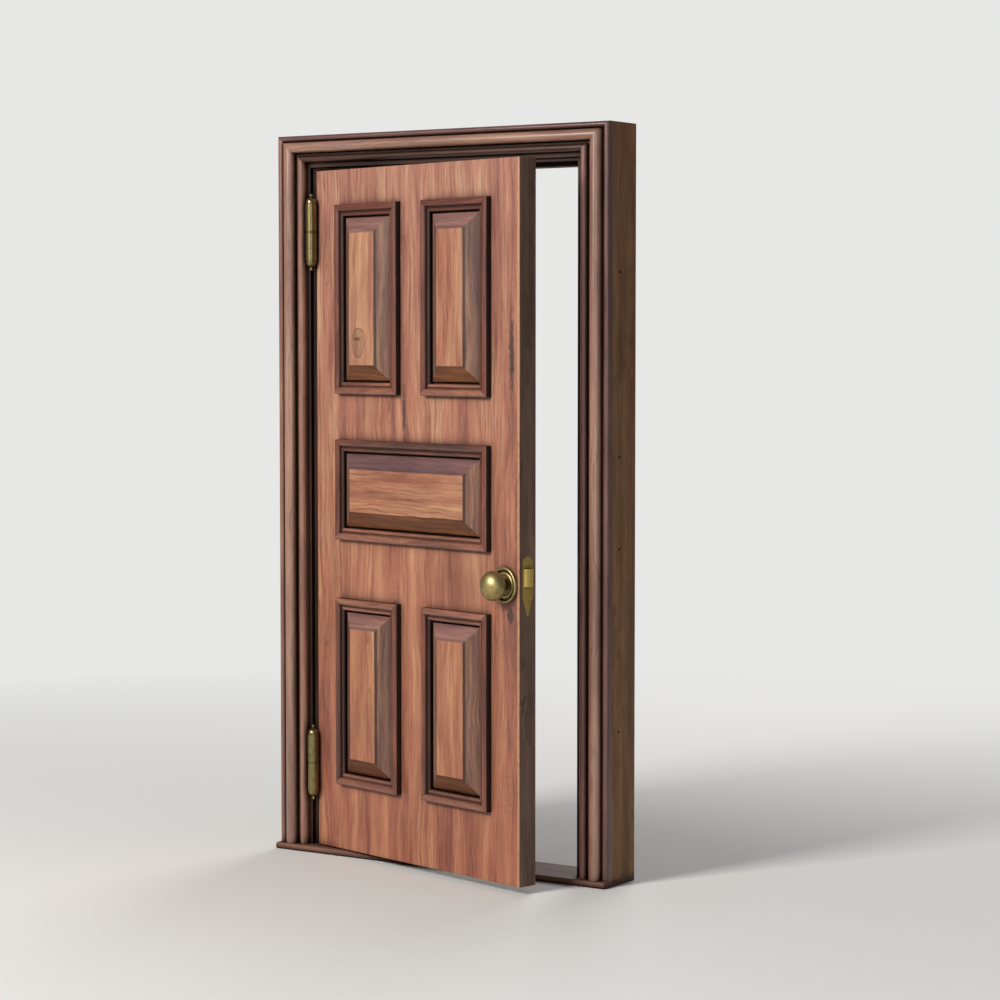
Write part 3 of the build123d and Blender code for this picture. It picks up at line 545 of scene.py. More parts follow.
@dataclass(frozen=True)
class WoodFinish:
    """Varnished wood: colour bands along the grain, growth rings, fibres, knots, and painted shade in the
    corners.

    Attributes:
        name: The finish's name.
        slot: The record's material slot; not used.
        bands: Colours from one band of the timber to the next.
        ring: Colour of the growth rings' dark lines.
        streak: Colour of the darkest streaks and knots.
        patch: Colour that patches of the timber are tinted with.
        patch_share: How strongly the patches are tinted.
        ring_share: How strongly the rings show.
        streak_share: How strongly the streaks and knots show.
        rough: Roughness of the varnish.
        coat: Weight of its gloss.
        shine: How much the wood under the gloss reflects.
        corner: Colour of the painted shade in the corners.
        corner_reach: How far the painted corner shade reaches, in metres.
        corner_dark: Openness up to which a corner is fully dark.
        corner_clear: Openness from which it is clear.
        wear_and_highlight: How much lighter the edges are drawn: partly worn, partly a painted highlight.
        shift: Where in the timber the piece is cut.
        marks: Flaws, and a painted highlight, at known places.
        rubbed: Colour of the painted highlight along the leaf's free arris.
        fade: Tints from the foot to the head of the door that paint light: darker and warmer at the foot,
            paler and cooler at the head.
        sway: How far the grain sways, in metres.
        shoulder_shadow: How dark the painted shadow is along the step round a front field.
    """

    name: str
    slot: str
    bands: Stops
    ring: Colour
    streak: Colour
    patch: Colour = (0.72, 0.62, 0.68)
    patch_share: float = 0.7
    ring_share: float = 0.5
    streak_share: float = 0.6
    rough: float = 0.42
    coat: float = 0.12
    shine: float = 0.35
    corner: Colour = (0.012, 0.007, 0.005)
    corner_reach: float = 0.03
    corner_dark: float = 0.2
    corner_clear: float = 0.92
    wear_and_highlight: float = 0.25
    shift: Triple = (0.0, 0.0, 0.0)
    marks: tuple[Mark, ...] = ()
    rubbed: Colour = (0.45, 0.235, 0.135)
    fade: Stops = ()
    sway: float = 0.028
    shoulder_shadow: float = 0.0

    @property
    def palest(self) -> Colour:
        """Colour of the palest band."""
        return self.bands[-1][1]

    def material(self, grain: Grain, setting: Setting) -> bpy.types.Material:
        """Make the finish for one way of the grain.

        Args:
            grain: The way the grain runs.
            setting: What the piece is fixed in.

        Returns:
            The material, made once for each way.
        """
        name = f"{self.name}_{grain.name.lower()}_{setting.name.lower()}"
        known = bpy.data.materials.get(name)
        return known if known else self._make(name, grain, setting)

    def _make(self, name: str, grain: Grain, setting: Setting) -> bpy.types.Material:
        """Build the nodes of the finish.

        Args:
            name: The material's name.
            grain: The way the grain runs.
            setting: What the piece is fixed in.

        Returns:
            The material.
        """
        graph = Graph(name)
        square = graph.mapping(graph.coordinates(), turn=(0.0, 0.0, setting.value))
        timber = graph.mapping(square, shift=self.shift, turn=grain.value)
        colour, height = self._figure(graph, timber)
        # Painted light: darker towards the foot of the door, paler towards its head
        if self.fade:
            height_share = graph.between(graph.part(square, "Z"), *LEAF_HEIGHTS)
            colour = graph.mix(1.0, colour, graph.ramp(height_share, self.fade), "MULTIPLY")
        # Painted shadow along the step round a front field
        if self.shoulder_shadow:
            share = graph.between(graph.part(square, "Y"), *SHOULDER_DEPTHS, 0.0, self.shoulder_shadow)
            colour = graph.mix(share, colour, self.corner)
        # The arris mark paints a highlight; the other marks are flaws in the wood
        tints = {Flaw.ARRIS_HIGHLIGHT: self.rubbed, Flaw.STAIN: self.ring, Flaw.EYE: EYE_GREY}
        for mark in self.marks:
            share = graph.maths("MULTIPLY", mark.mask(graph, square), MARK_SHARE)
            colour = graph.mix(share, colour, tints.get(mark.flaw, self.streak))
        eased = graph.eased_normal(WOOD_EDGE)
        # Lighter along the edges: partly worn arrises, partly a painted highlight
        worn = graph.maths("MULTIPLY", graph.edges(eased), self.wear_and_highlight)
        colour = graph.mix(worn, colour, self.palest)
        # Painted shade: darker colour, and less coat and shine, where the surface lies in a corner
        openness = graph.crevices(self.corner_reach)
        open_share = graph.between(openness, self.corner_dark, self.corner_clear)
        colour = graph.mix(open_share, self.corner, colour)
        smoothest, roughest = (self.rough + step for step in SHEEN_SPREAD)
        return graph.surface(
            Base_Color=colour,
            Roughness=graph.between(graph.noise(timber, SHEEN), *SHEEN.span, smoothest, roughest),
            Normal=graph.bump(height, *WOOD_RELIEF, eased),
            Coat_Weight=graph.maths("MULTIPLY", open_share, self.coat),
            Coat_Roughness=COAT_ROUGH,
            Specular_IOR_Level=graph.maths("MULTIPLY", open_share, self.shine),
        )

    def _figure(self, graph: Graph, timber: Socket) -> tuple[Socket, Socket]:
        """Draw the figure of the timber.

        Args:
            graph: The material's nodes.
            timber: Coordinates with the grain along the third axis.

        Returns:
            The colour, and the height of the fibres.
        """
        run = self._sway(graph, timber)
        colour = graph.ramp(graph.between(graph.noise(run, BANDS), *BANDS.span), self.bands)
        patch_share = graph.between(graph.noise(run, PATCHES), *PATCHES.span, 0.0, self.patch_share)
        colour = graph.mix(patch_share, colour, self.patch, "MULTIPLY")
        streaks = graph.ramp(graph.between(graph.noise(run, STREAKS), *STREAKS.span), GREY_STREAKS)
        colour = graph.mix(self.ring_share, colour, streaks, "MULTIPLY")
        wave = {"Vector": graph.mapping(run, scale=RING_STRETCH), **RING_WAVE}
        rings = graph.node("TexWave", wave, wave_type="BANDS", bands_direction="X", wave_profile="SAW")
        lines = graph.between(rings.outputs["Fac"], RING_EDGE, 1.0)
        present = graph.between(graph.noise(run, RING_PLACES), *RING_PLACES.span)
        drawn = graph.maths("MULTIPLY", graph.maths("MULTIPLY", lines, present), self.ring_share)
        colour = graph.mix(drawn, colour, self.ring)
        fibre = graph.noise(run, FIBRES)
        dark_share = graph.between(fibre, *FIBRES.span, 0.0, FIBRE_SHARE * self.ring_share)
        colour = graph.mix(dark_share, colour, self.ring)
        colour = graph.mix(graph.between(fibre, *PALE_FIBRES), colour, self.palest)
        flaw_share = graph.maths("MULTIPLY", self._flaws(graph, run), self.streak_share)
        colour = graph.mix(flaw_share, colour, self.streak)
        return colour, graph.maths("ADD", fibre, graph.maths("MULTIPLY", lines, RING_RISE))

    def _sway(self, graph: Graph, timber: Socket) -> Socket:
        """Let the grain sway from side to side along its length.

        Args:
            graph: The material's nodes.
            timber: Coordinates with the grain along the third axis.

        Returns:
            The swayed coordinates.
        """
        sway = graph.between(graph.noise(timber, SWAYS), *SWAYS.span, -self.sway, self.sway)
        lean = graph.node("CombineXYZ", {"X": sway}).outputs["Vector"]
        return graph.node("VectorMath", {0: timber, 1: lean}, operation="ADD").outputs["Vector"]

    def _flaws(self, graph: Graph, run: Socket) -> Socket:
        """Draw scattered knots and dark splits.

        Args:
            graph: The material's nodes.
            run: Coordinates that sway with the grain.

        Returns:
            Where the flaws are.
        """
        spots = {"Vector": graph.mapping(run, scale=SCATTER), "Scale": 1.0}
        cells = graph.node("TexVoronoi", spots, feature="F1", distance="EUCLIDEAN")
        near = cells.outputs["Distance"]
        ripple = graph.maths("SINE", graph.maths("MULTIPLY", near, SCATTER_RIPPLE))
        lines = graph.between(ripple, *SCATTER_LINES)
        halo = graph.maths("MULTIPLY", lines, graph.between(near, *SCATTER_HALO))
        rings = graph.maths("MULTIPLY", halo, SCATTER_SHARE)
        knot = graph.maths("MAXIMUM", graph.between(near, *SCATTER_HEART), rings)
        return graph.maths("MAXIMUM", knot, graph.between(graph.noise(run, SPLITS), *SPLITS.span))


@dataclass(frozen=True)
class MetalFinish:
    """Metal that has aged: worn bright on its rounds, dark in its corners.

    Attributes:
        name: The finish's name.
        slot: The record's material slot; not used.
        bright: Colour where it is rubbed.
        dull: Colour where it has aged.
        tarnish: Colour in the corners and blooms.
        rough: Roughness where it is rubbed.
        blur: How much rougher it is where it has aged.
        corner_reach: How far a corner's darkening reaches, in metres.
    """

    name: str
    slot: str
    bright: Colour
    dull: Colour
    tarnish: Colour
    rough: float = 0.24
    blur: float = 0.22
    corner_reach: float = 0.012

    def material(self) -> bpy.types.Material:
        """Make the finish.

        Returns:
            The material, made once.
        """
        name = f"{self.name}_aged"
        known = bpy.data.materials.get(name)
        if known:
            return known
        graph = Graph(name)
        place = graph.coordinates()
        eased = graph.eased_normal(METAL_EDGE)
        bloom = graph.noise(place, BLOOM)
        stops = ((0.0, self.dull), (BRIGHT_FROM, self.bright), (1.0, self.bright))
        colour = graph.ramp(graph.between(bloom, *BLOOM.span), stops)
        specks = graph.noise(place, SPECKS)
        colour = graph.mix(graph.between(specks, *SPECKS.span, 0.0, SPECK_SHARE), colour, self.dull)
        open_share = graph.between(graph.crevices(self.corner_reach), *METAL_CORNERS)
        colour = graph.mix(open_share, self.tarnish, colour)
        return graph.surface(
            Base_Color=colour,
            Metallic=1.0,
            Roughness=graph.between(bloom, *BLOOM.span, self.rough + self.blur, self.rough),
            Normal=graph.bump(specks, *METAL_RELIEF, eased),
        )


def graded(dark: Colour, middle: Colour, light: Colour) -> Stops:
    """Spread three colours evenly from 0 to 1.

    Args:
        dark: The first.
        middle: The second.
        light: The third.

    Returns:
        Their places and themselves.
    """
    return ((0.0, dark), (0.5, middle), (1.0, light))


# Painted light by height: darker and warmer at the foot, paler and cooler at the head
PAINTED_HEIGHT_LIGHT: Stops = graded((0.95, 0.80, 0.73), (1.0, 1.0, 1.0), (1.02, 1.14, 1.28))
LEAF_WOOD = WoodFinish(
    "leaf_wood",
    "leaf_wood",
    bands=(
        (0.0, (0.20, 0.080, 0.058)),
        (0.25, (0.31, 0.118, 0.075)),
        (0.5, (0.36, 0.152, 0.092)),
        (0.72, (0.40, 0.188, 0.107)),
        (1.0, (0.46, 0.245, 0.135)),
    ),
    ring=(0.15, 0.055, 0.036),
    streak=(0.045, 0.028, 0.026),
    ring_share=0.8,
    streak_share=0.7,
    sway=0.019,
    corner=(0.045, 0.022, 0.018),
    corner_reach=0.034,
    marks=(
        Mark(Flaw.CRACK, 0.4437, 1.51, 0.010, 0.125),
        Mark(Flaw.GOUGE, 0.4390, 0.781, 0.020, 0.030),
        Mark(Flaw.CRACK, -0.0273, 1.34, 0.006, 0.080),
        Mark(Flaw.KNOT, 0.4070, 0.705, 0.026, 0.050),
        Mark(Flaw.KNOT, -0.3955, 0.638, 0.016, 0.022),
        Mark(Flaw.STAIN, 0.2200, 0.860, 0.230, 0.120),
        # Painted highlight: a lighter strip along the leaf's free front arris
        Mark(Flaw.ARRIS_HIGHLIGHT, 0.4715, 1.030, 0.006, 1.100),
    ),
    fade=PAINTED_HEIGHT_LIGHT,
)
# A darker copy of the leaf's wood for its edges: painted shade
SHADED_LEAF_EDGE_WOOD = replace(
    LEAF_WOOD,
    name="shaded_leaf_edge_wood",
    bands=graded((0.12, 0.068, 0.046), (0.17, 0.098, 0.067), (0.22, 0.128, 0.086)),
    ring=(0.06, 0.03, 0.022),
    rough=0.5,
    coat=0.05,
    marks=(),
    fade=(),
)
PANEL_WOOD = WoodFinish(
    "panel_wood",
    "panel_wood",
    bands=(
        (0.0, (0.23, 0.085, 0.05)),
        (0.3, (0.31, 0.125, 0.072)),
        (0.6, (0.38, 0.178, 0.096)),
        (1.0, (0.47, 0.255, 0.13)),
    ),
    ring=(0.13, 0.05, 0.03),
    streak=(0.07, 0.03, 0.02),
    patch=(0.9, 0.72, 0.68),
    ring_share=0.8,
    streak_share=0.55,
    corner=(0.02, 0.011, 0.009),
    corner_reach=0.02,
    shift=(3.31, 0.7, 1.9),
    marks=(
        Mark(Flaw.EYE, -0.2000, 1.5430, 0.030, 0.046),
        Mark(Flaw.CRACK, -0.2030, 1.5530, 0.020, 0.006),
        Mark(Flaw.KNOT, -0.1574, 0.6686, 0.012, 0.024),
        Mark(Flaw.KNOT, -0.1510, 0.5183, 0.011, 0.024),
    ),
    fade=PAINTED_HEIGHT_LIGHT,
    sway=0.020,
)
# Bevel tones by the way each bevel faces paint light and shade: darker copies for the bevels that face
# down and to the side
TOP_BEVEL_WOOD = replace(
    PANEL_WOOD,
    name="top_bevel_wood",
    bands=graded((0.10, 0.052, 0.055), (0.155, 0.076, 0.075), (0.23, 0.115, 0.10)),
    ring=(0.06, 0.03, 0.034),
    patch=(0.8, 0.74, 0.86),
    marks=(),
    fade=(),
    shoulder_shadow=0.3,
)
PINK_BEVEL_WOOD = replace(
    TOP_BEVEL_WOOD,
    name="pink_bevel_wood",
    bands=graded((0.17, 0.080, 0.070), (0.25, 0.122, 0.098), (0.34, 0.180, 0.135)),
    ring=(0.09, 0.042, 0.042),
    patch=(0.66, 0.66, 0.76),
)
# Painted shade on the bevels that face down
SHADED_FOOT_BEVEL_WOOD = replace(
    PANEL_WOOD,
    name="foot_bevel_wood",
    bands=graded((0.09, 0.030, 0.010), (0.14, 0.046, 0.015), (0.22, 0.082, 0.026)),
    ring=(0.045, 0.017, 0.008),
    coat=0.04,
    shine=0.2,
    marks=(),
    fade=(),
    shoulder_shadow=0.25,
)
# Painted shade on the bevels that face to the side
SHADED_SIDE_BEVEL_WOOD = replace(
    PANEL_WOOD,
    name="side_bevel_wood",
    bands=graded((0.10, 0.051, 0.042), (0.165, 0.086, 0.062), (0.28, 0.150, 0.096)),
    ring=(0.06, 0.030, 0.024),
    patch=(0.72, 0.66, 0.76),
    coat=0.04,
    shine=0.2,
    marks=(),
    fade=(),
    shoulder_shadow=0.75,
)
PALE_BEVEL_WOOD = replace(
    SHADED_SIDE_BEVEL_WOOD,
    name="pale_bevel_wood",
    bands=graded((0.15, 0.075, 0.052), (0.24, 0.124, 0.084), (0.36, 0.195, 0.120)),
    ring=(0.09, 0.045, 0.034),
)
MOULDING_WOOD = WoodFinish(
    "moulding_wood",
    "moulding_wood",
    bands=graded((0.065, 0.025, 0.016), (0.128, 0.042, 0.026), (0.225, 0.075, 0.042)),
    ring=(0.035, 0.014, 0.01),
    streak=(0.018, 0.009, 0.007),
    streak_share=0.4,
    rough=0.33,
    coat=0.3,
    corner_reach=0.022,
    corner_dark=0.36,
    corner_clear=0.96,
    wear_and_highlight=0.6,
    shift=(6.2, 1.3, 0.4),
)
# A shaded copy for the middle panel's top bar: painted shade
SHADED_MOULDING_TOP_WOOD = replace(
    MOULDING_WOOD,
    name="moulding_top_wood",
    bands=graded((0.05, 0.023, 0.017), (0.105, 0.041, 0.028), (0.22, 0.077, 0.045)),
)
# A lit copy for the foot bars and the lower panels' top bars: painted light
LIT_MOULDING_WOOD = replace(
    MOULDING_WOOD,
    name="lit_moulding_wood",
    bands=graded((0.11, 0.046, 0.031), (0.23, 0.090, 0.057), (0.35, 0.146, 0.090)),
    coat=0.45,
)
MOULDING_SHADE_WOOD = replace(
    MOULDING_WOOD,
    name="moulding_shade_wood",
    bands=graded((0.024, 0.010, 0.007), (0.046, 0.018, 0.012), (0.085, 0.032, 0.020)),
    ring=(0.015, 0.007, 0.005),
    coat=0.1,
    wear_and_highlight=0.3,
)
# Nearly black walls of the mouldings: painted shade
SHADED_MOULDING_WALL_WOOD = replace(
    MOULDING_WOOD,
    name="moulding_side_wood",
    bands=graded((0.016, 0.009, 0.008), (0.024, 0.013, 0.010), (0.037, 0.021, 0.016)),
    ring=(0.008, 0.005, 0.004),
    rough=0.5,
    coat=0.0,
    wear_and_highlight=0.3,
)
# Rebate wood, darkened with painted shade; the lit copy below is lighter where more light falls
FRAME_WOOD = WoodFinish(
    "frame_wood",
    "frame_wood",
    bands=graded((0.020, 0.010, 0.007), (0.034, 0.017, 0.011), (0.06, 0.030, 0.020)),
    ring=(0.014, 0.008, 0.006),
    streak=(0.012, 0.007, 0.005),
    rough=0.5,
    coat=0.0,
    shine=0.18,
    corner=(0.004, 0.003, 0.0025),
    corner_reach=0.05,
    shift=(9.4, 2.3, 0.8),
)
LIT_FRAME_WOOD = replace(
    FRAME_WOOD,
    name="lit_frame_wood",
    bands=graded((0.034, 0.016, 0.011), (0.058, 0.027, 0.019), (0.10, 0.047, 0.033)),
    ring=(0.028, 0.013, 0.010),
    corner_reach=0.03,
)
FRAME_SIDE_WOOD = replace(
    FRAME_WOOD,
    name="frame_side_wood",
    bands=graded((0.165, 0.080, 0.035), (0.240, 0.118, 0.053), (0.320, 0.166, 0.078)),
    ring=(0.09, 0.042, 0.02),
    streak=(0.06, 0.03, 0.016),
    streak_share=0.4,
)
THRESHOLD_WOOD = replace(
    FRAME_WOOD,
    name="threshold_wood",
    bands=graded((0.11, 0.052, 0.038), (0.16, 0.077, 0.054), (0.22, 0.11, 0.076)),
    ring=(0.07, 0.034, 0.025),
    streak=(0.05, 0.026, 0.018),
    corner_reach=0.03,
)
CASING_WOOD = WoodFinish(
    "casing_wood",
    "casing_wood",
    bands=graded((0.19, 0.094, 0.063), (0.275, 0.143, 0.098), (0.37, 0.205, 0.140)),
    ring=(0.10, 0.046, 0.033),
    streak=(0.06, 0.03, 0.022),
    streak_share=0.3,
    rough=0.32,
    coat=0.8,
    shine=0.5,
    corner=(0.010, 0.005, 0.004),
    corner_reach=0.036,
    corner_dark=0.42,
    corner_clear=0.96,
    shift=(12.1, 0.9, 2.6),
)
OUTER_BEAD_WOOD = replace(
    CASING_WOOD,
    name="outer_bead_wood",
    bands=graded((0.078, 0.034, 0.027), (0.118, 0.051, 0.041), (0.17, 0.080, 0.061)),
    ring=(0.055, 0.024, 0.019),
    coat=0.4,
    corner=(0.030, 0.013, 0.010),
    corner_dark=0.15,
)
# A shaded copy for the head's inner bead: painted shade
SHADED_INNER_BEAD_WOOD = replace(
    OUTER_BEAD_WOOD,
    name="inner_bead_wood",
    bands=graded((0.050, 0.023, 0.016), (0.075, 0.035, 0.024), (0.11, 0.055, 0.037)),
    ring=(0.035, 0.016, 0.012),
    coat=0.15,
    shine=0.25,
    corner=(0.010, 0.005, 0.004),
    corner_dark=0.3,
)
LIT_BEAD_WOOD = replace(
    OUTER_BEAD_WOOD,
    name="lit_bead_wood",
    bands=graded((0.18, 0.084, 0.056), (0.265, 0.126, 0.084), (0.36, 0.184, 0.122)),
    ring=(0.11, 0.050, 0.036),
    corner=(0.010, 0.005, 0.004),
    corner_dark=0.36,
)
# A lit copy for the lock side's inner bead, where the leaf's shadow falls: painted light
LIT_LOCK_BEAD_WOOD = replace(
    OUTER_BEAD_WOOD,
    name="lit_lock_bead_wood",
    bands=graded((0.115, 0.047, 0.036), (0.18, 0.074, 0.056), (0.245, 0.115, 0.088)),
    ring=(0.08, 0.033, 0.025),
    coat=0.3,
)
AGED_BRASS = MetalFinish(
    "brass",
    "aged_brass",
    bright=(0.39, 0.307, 0.132),
    dull=(0.24, 0.182, 0.067),
    tarnish=(0.025, 0.018, 0.008),
    rough=0.38,
    blur=0.16,
    corner_reach=0.013,
)
HINGE_BRASS = replace(
    AGED_BRASS,
    name="hinge_brass",
    bright=(0.265, 0.212, 0.093),
    dull=(0.165, 0.131, 0.055),
    rough=0.26,
    blur=0.08,
)
PLATE_BRASS = replace(
    AGED_BRASS,
    name="plate_brass",
    bright=(0.56, 0.405, 0.118),
    dull=(0.42, 0.295, 0.075),
)
PLAIN_STEEL = MetalFinish(
    "steel",
    "steel",
    bright=(0.45, 0.45, 0.44),
    dull=(0.28, 0.28, 0.28),
    tarnish=(0.05, 0.05, 0.05),
    rough=0.35,
)


def along_leaf(point: Vector) -> Vector:
    """Turn a point or a direction back as if the leaf were shut.

    Args:
        point: In the shared frame, at rest.

    Returns:
        With x along the leaf, y into it and z up.
    """
    return Matrix.Rotation(OPEN_ANGLE, 3, "Z") @ point


@dataclass
class Dressing:
    """Shared work of the sub-assemblies: materials laid on the CAD nodes."""

    nodes: dict[str, bpy.types.Object]

    def lay(self, name: str, *materials: bpy.types.Material) -> bpy.types.Object:
        """Give a node its materials.

        Args:
            name: The node.
            materials: Its materials, the first on every face.

        Returns:
            The node's object.
        """
        piece = self.nodes[name]
        piece.data.materials.clear()
        for material in materials:
            piece.data.materials.append(material)
        for face in piece.data.polygons:
            face.material_index = 0
        LOG.info("%s: %s", name, ", ".join(m.name for m in materials))
        return piece


@dataclass
class DoorFrame(Dressing):
    """Jambs, head, threshold and the casing on their front."""

    # Rebate finishes: the darkest painted shade on the hinge side, a lit copy on the lock side and the
    # head
    jambs: tuple[tuple[str, Grain, WoodFinish], ...] = (
        ("hinge_jamb", Grain.UPRIGHT, FRAME_WOOD),
        ("lock_jamb", Grain.UPRIGHT, LIT_FRAME_WOOD),
        ("head_jamb", Grain.LEVEL, LIT_FRAME_WOOD),
    )
    threshold: str = "threshold"
    # Bead tones per side are painted light and shade: lit copies on the hinge side and the lock side's
    # inner bead, a shaded copy on the head's inner bead
    casings: tuple[tuple[str, Grain, WoodFinish, WoodFinish], ...] = (
        ("hinge_side_casing", Grain.UPRIGHT, LIT_BEAD_WOOD, LIT_BEAD_WOOD),
        ("lock_side_casing", Grain.UPRIGHT, OUTER_BEAD_WOOD, LIT_LOCK_BEAD_WOOD),
        ("head_casing", Grain.LEVEL, OUTER_BEAD_WOOD, SHADED_INNER_BEAD_WOOD),
    )
    skin: float = 0.001
    side_beads: tuple[float, float] = (0.0225, 0.0735)
    head_beads: tuple[float, float] = (0.0185, 0.0605)

    def dress(self) -> None:
        """Lay wood along the length of every piece."""
        for name, grain, rebate_wood in self.jambs:
            self._dress_jamb(name, grain, rebate_wood)
        self.lay(self.threshold, THRESHOLD_WOOD.material(Grain.LEVEL, Setting.FRAME))
        for name, grain, outer_wood, inner_wood in self.casings:
            self._dress_casing(name, grain, outer_wood, inner_wood)

    def _dress_casing(
        self, name: str, grain: Grain, outer_wood: WoodFinish, inner_wood: WoodFinish
    ) -> None:
        """Lay a casing's wood, with another tone on the beads on either side of its large round: lit and
        shaded copies, which paint light and shade for each side.

        Args:
            name: The casing.
            grain: The way its grain runs.
            outer_wood: The finish of the bead next to the wall.
            inner_wood: The finish of the bead next to the doorway.
        """
        woods = (CASING_WOOD, outer_wood, inner_wood)
        piece = self.lay(name, *(wood.material(grain, Setting.FRAME) for wood in woods))
        low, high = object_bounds()
        level = grain is Grain.LEVEL
        outer_end, inner_start = self.head_beads if level else self.side_beads
        for face in piece.data.polygons:
            spot = face.center
            inset = high.z - spot.z if level else min(spot.x - low.x, high.x - spot.x)
            if inset < outer_end:
                face.material_index = CasingFace.OUTER_BEAD
            elif inset > inner_start:
                face.material_index = CasingFace.INNER_BEAD

    def _dress_jamb(self, name: str, grain: Grain, rebate_wood: WoodFinish) -> None:
        """Lay a jamb's wood: painted shade in the rebate, lighter on the outside and the back.

        Args:
            name: The jamb, or the head.
            grain: The way its grain runs.
            rebate_wood: The rebate's finish, the frame wood darkened with painted shade, less where more
                light falls.
        """
        side = FRAME_SIDE_WOOD.material(grain, Setting.FRAME)
        piece = self.lay(name, rebate_wood.material(grain, Setting.FRAME), side)
        low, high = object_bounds()
        for face in piece.data.polygons:
            spot = face.center
            outside = min(spot.x - low.x, high.x - spot.x, high.y - spot.y, high.z - spot.z)
            face.material_index = JambFace.OUTSIDE if outside < self.skin else JambFace.REBATE


@dataclass
class Leaf(Dressing):
    """Stiles, rails and mullions, faced with one run of timber."""

    members: tuple[str, ...] = (
        "hinge_stile", "lock_stile", "upper_mullion", "lower_mullion",
        "top_rail", "cross_rail", "lock_rail", "bottom_rail",
    )
    edge_turn: float = 0.5

    def dress(self) -> None:
        """Lay upright grain over every member, with painted shade on the leaf's edges."""
        face_wood = LEAF_WOOD.material(Grain.UPRIGHT, Setting.LEAF)
        edge_wood = SHADED_LEAF_EDGE_WOOD.material(Grain.UPRIGHT, Setting.LEAF)
        for name in self.members:
            piece = self.lay(name, face_wood, edge_wood)
            for face in piece.data.polygons:
                _, out, _ = along_leaf(face.normal)
                face.material_index = LeafFace.FACE if abs(out) > self.edge_turn else LeafFace.EDGE


@dataclass
class PanelWork(Dressing):
    """Raised panels, and the mitred mouldings round them."""

    places: tuple[str, ...] = ("lower_left", "lower_right", "middle", "upper_left", "upper_right")
    lying: tuple[str, ...] = ("middle",)
    bevel_rise: float = 0.12
    wall_turn: float = 0.2
    bead_start: float = 0.0205
    # Top bars in lit and shaded copies: painted light and shade
    top_bars: dict[str, WoodFinish] = field(
        default_factory=lambda: {
            "lower_left": LIT_MOULDING_WOOD,
            "lower_right": LIT_MOULDING_WOOD,
            "middle": SHADED_MOULDING_TOP_WOOD,
            "upper_left": MOULDING_WOOD,
            "upper_right": MOULDING_WOOD,
        }
    )

    def dress(self) -> None:
        """Run the grain along every field, bevel and moulding bar."""
        for place in self.places:
            self._dress_panel(place)
            for side in ("front", "back"):
                self._dress_moulding(place, side)

    def _dress_panel(self, place: str) -> None:
        """Lay one panel's wood: its field along the panel, its bevels along themselves, each bevel in a
        tone that paints the light and shade on the way it faces.

        Args:
            place: The panel's place on the leaf.
        """
        field_grain = Grain.LEVEL if place in self.lying else Grain.UPRIGHT
        top_wood = TOP_BEVEL_WOOD if place in self.lying else PINK_BEVEL_WOOD
        side_wood = PALE_BEVEL_WOOD if place in self.lying else SHADED_SIDE_BEVEL_WOOD
        piece = self.lay(
            f"{place}_panel",
            PANEL_WOOD.material(field_grain, Setting.LEAF),
            top_wood.material(Grain.LEVEL, Setting.LEAF),
            SHADED_FOOT_BEVEL_WOOD.material(Grain.LEVEL, Setting.LEAF),
            side_wood.material(Grain.UPRIGHT, Setting.LEAF),
        )
        for face in piece.data.polygons:
            across, _, up = along_leaf(face.normal)
            if up > self.bevel_rise:
                face.material_index = PanelFace.TOP_BEVEL
            elif up < -self.bevel_rise:
                face.material_index = PanelFace.FOOT_BEVEL
            elif abs(across) > self.bevel_rise:
                face.material_index = PanelFace.SIDE_BEVEL

    def _dress_moulding(self, place: str, side: str) -> None:
        """Lay a moulding's wood along each of its bars, which meet on the corners' diagonals, with
        painted light and shade: lit and shaded copies on the level bars, painted shade on the walls and
        on the left bar's inner bead.

        Args:
            place: The panel's place on the leaf.
            side: "front" or "back".
        """
        upright = MOULDING_WOOD.material(Grain.UPRIGHT, Setting.LEAF)
        top = self.top_bars[place].material(Grain.LEVEL, Setting.LEAF)
        foot = LIT_MOULDING_WOOD.material(Grain.LEVEL, Setting.LEAF)
        wall = SHADED_MOULDING_WALL_WOOD.material(Grain.UPRIGHT, Setting.LEAF)
        shade = MOULDING_SHADE_WOOD.material(Grain.UPRIGHT, Setting.LEAF)
        piece = self.lay(f"{place}_{side}_moulding", upright, top, foot, wall, shade)
        spots = [along_leaf(face.center) for face in piece.data.polygons]
        corners = [along_leaf(vertex.co) for vertex in piece.data.vertices]
        left, right = min(c.x for c in corners), max(c.x for c in corners)
        low, high = min(c.z for c in corners), max(c.z for c in corners)
        for face, spot in zip(piece.data.polygons, spots):
            aside = min(spot.x - left, right - spot.x)
            above = min(spot.z - low, high - spot.z)
            if abs(along_leaf(face.normal).y) < self.wall_turn:
                face.material_index = BarFace.WALL
            elif above < aside:
                face.material_index = BarFace.TOP if high - spot.z < spot.z - low else BarFace.FOOT
            elif self.bead_start < spot.x - left < right - spot.x:
                face.material_index = BarFace.SHADED_BEAD


@dataclass
class Ironmongery(Dressing):
    """Hinges, knobs, latch and strike."""

    hinge_brass: tuple[str, ...] = (
        "upper_hinge_leaf_half", "lower_hinge_leaf_half",
        "upper_hinge_jamb_half", "lower_hinge_jamb_half",
        "leaf_hinge_finials", "jamb_hinge_finials", "hinge_washers",
    )
    brass: tuple[str, ...] = (
        "front_knob", "back_knob", "front_rosette", "back_rosette", "strike_plate",
    )
    plate_brass: tuple[str, ...] = ("latch_plate", "latch_bolt")
    steel: tuple[str, ...] = (
        "hinge_pins", "leaf_hinge_screws", "jamb_hinge_screws", "strike_screws",
        "lock_case", "spindle", "latch_hub",
    )

    def dress(self) -> None:
        """Lay brass on what shows and steel on what works inside."""
        groups = (
            (AGED_BRASS, self.brass),
            (PLATE_BRASS, self.plate_brass),
            (HINGE_BRASS, self.hinge_brass),
            (PLAIN_STEEL, self.steel),
        )
        for finish, names in groups:
            for name in names:
                self.lay(name, finish.material())


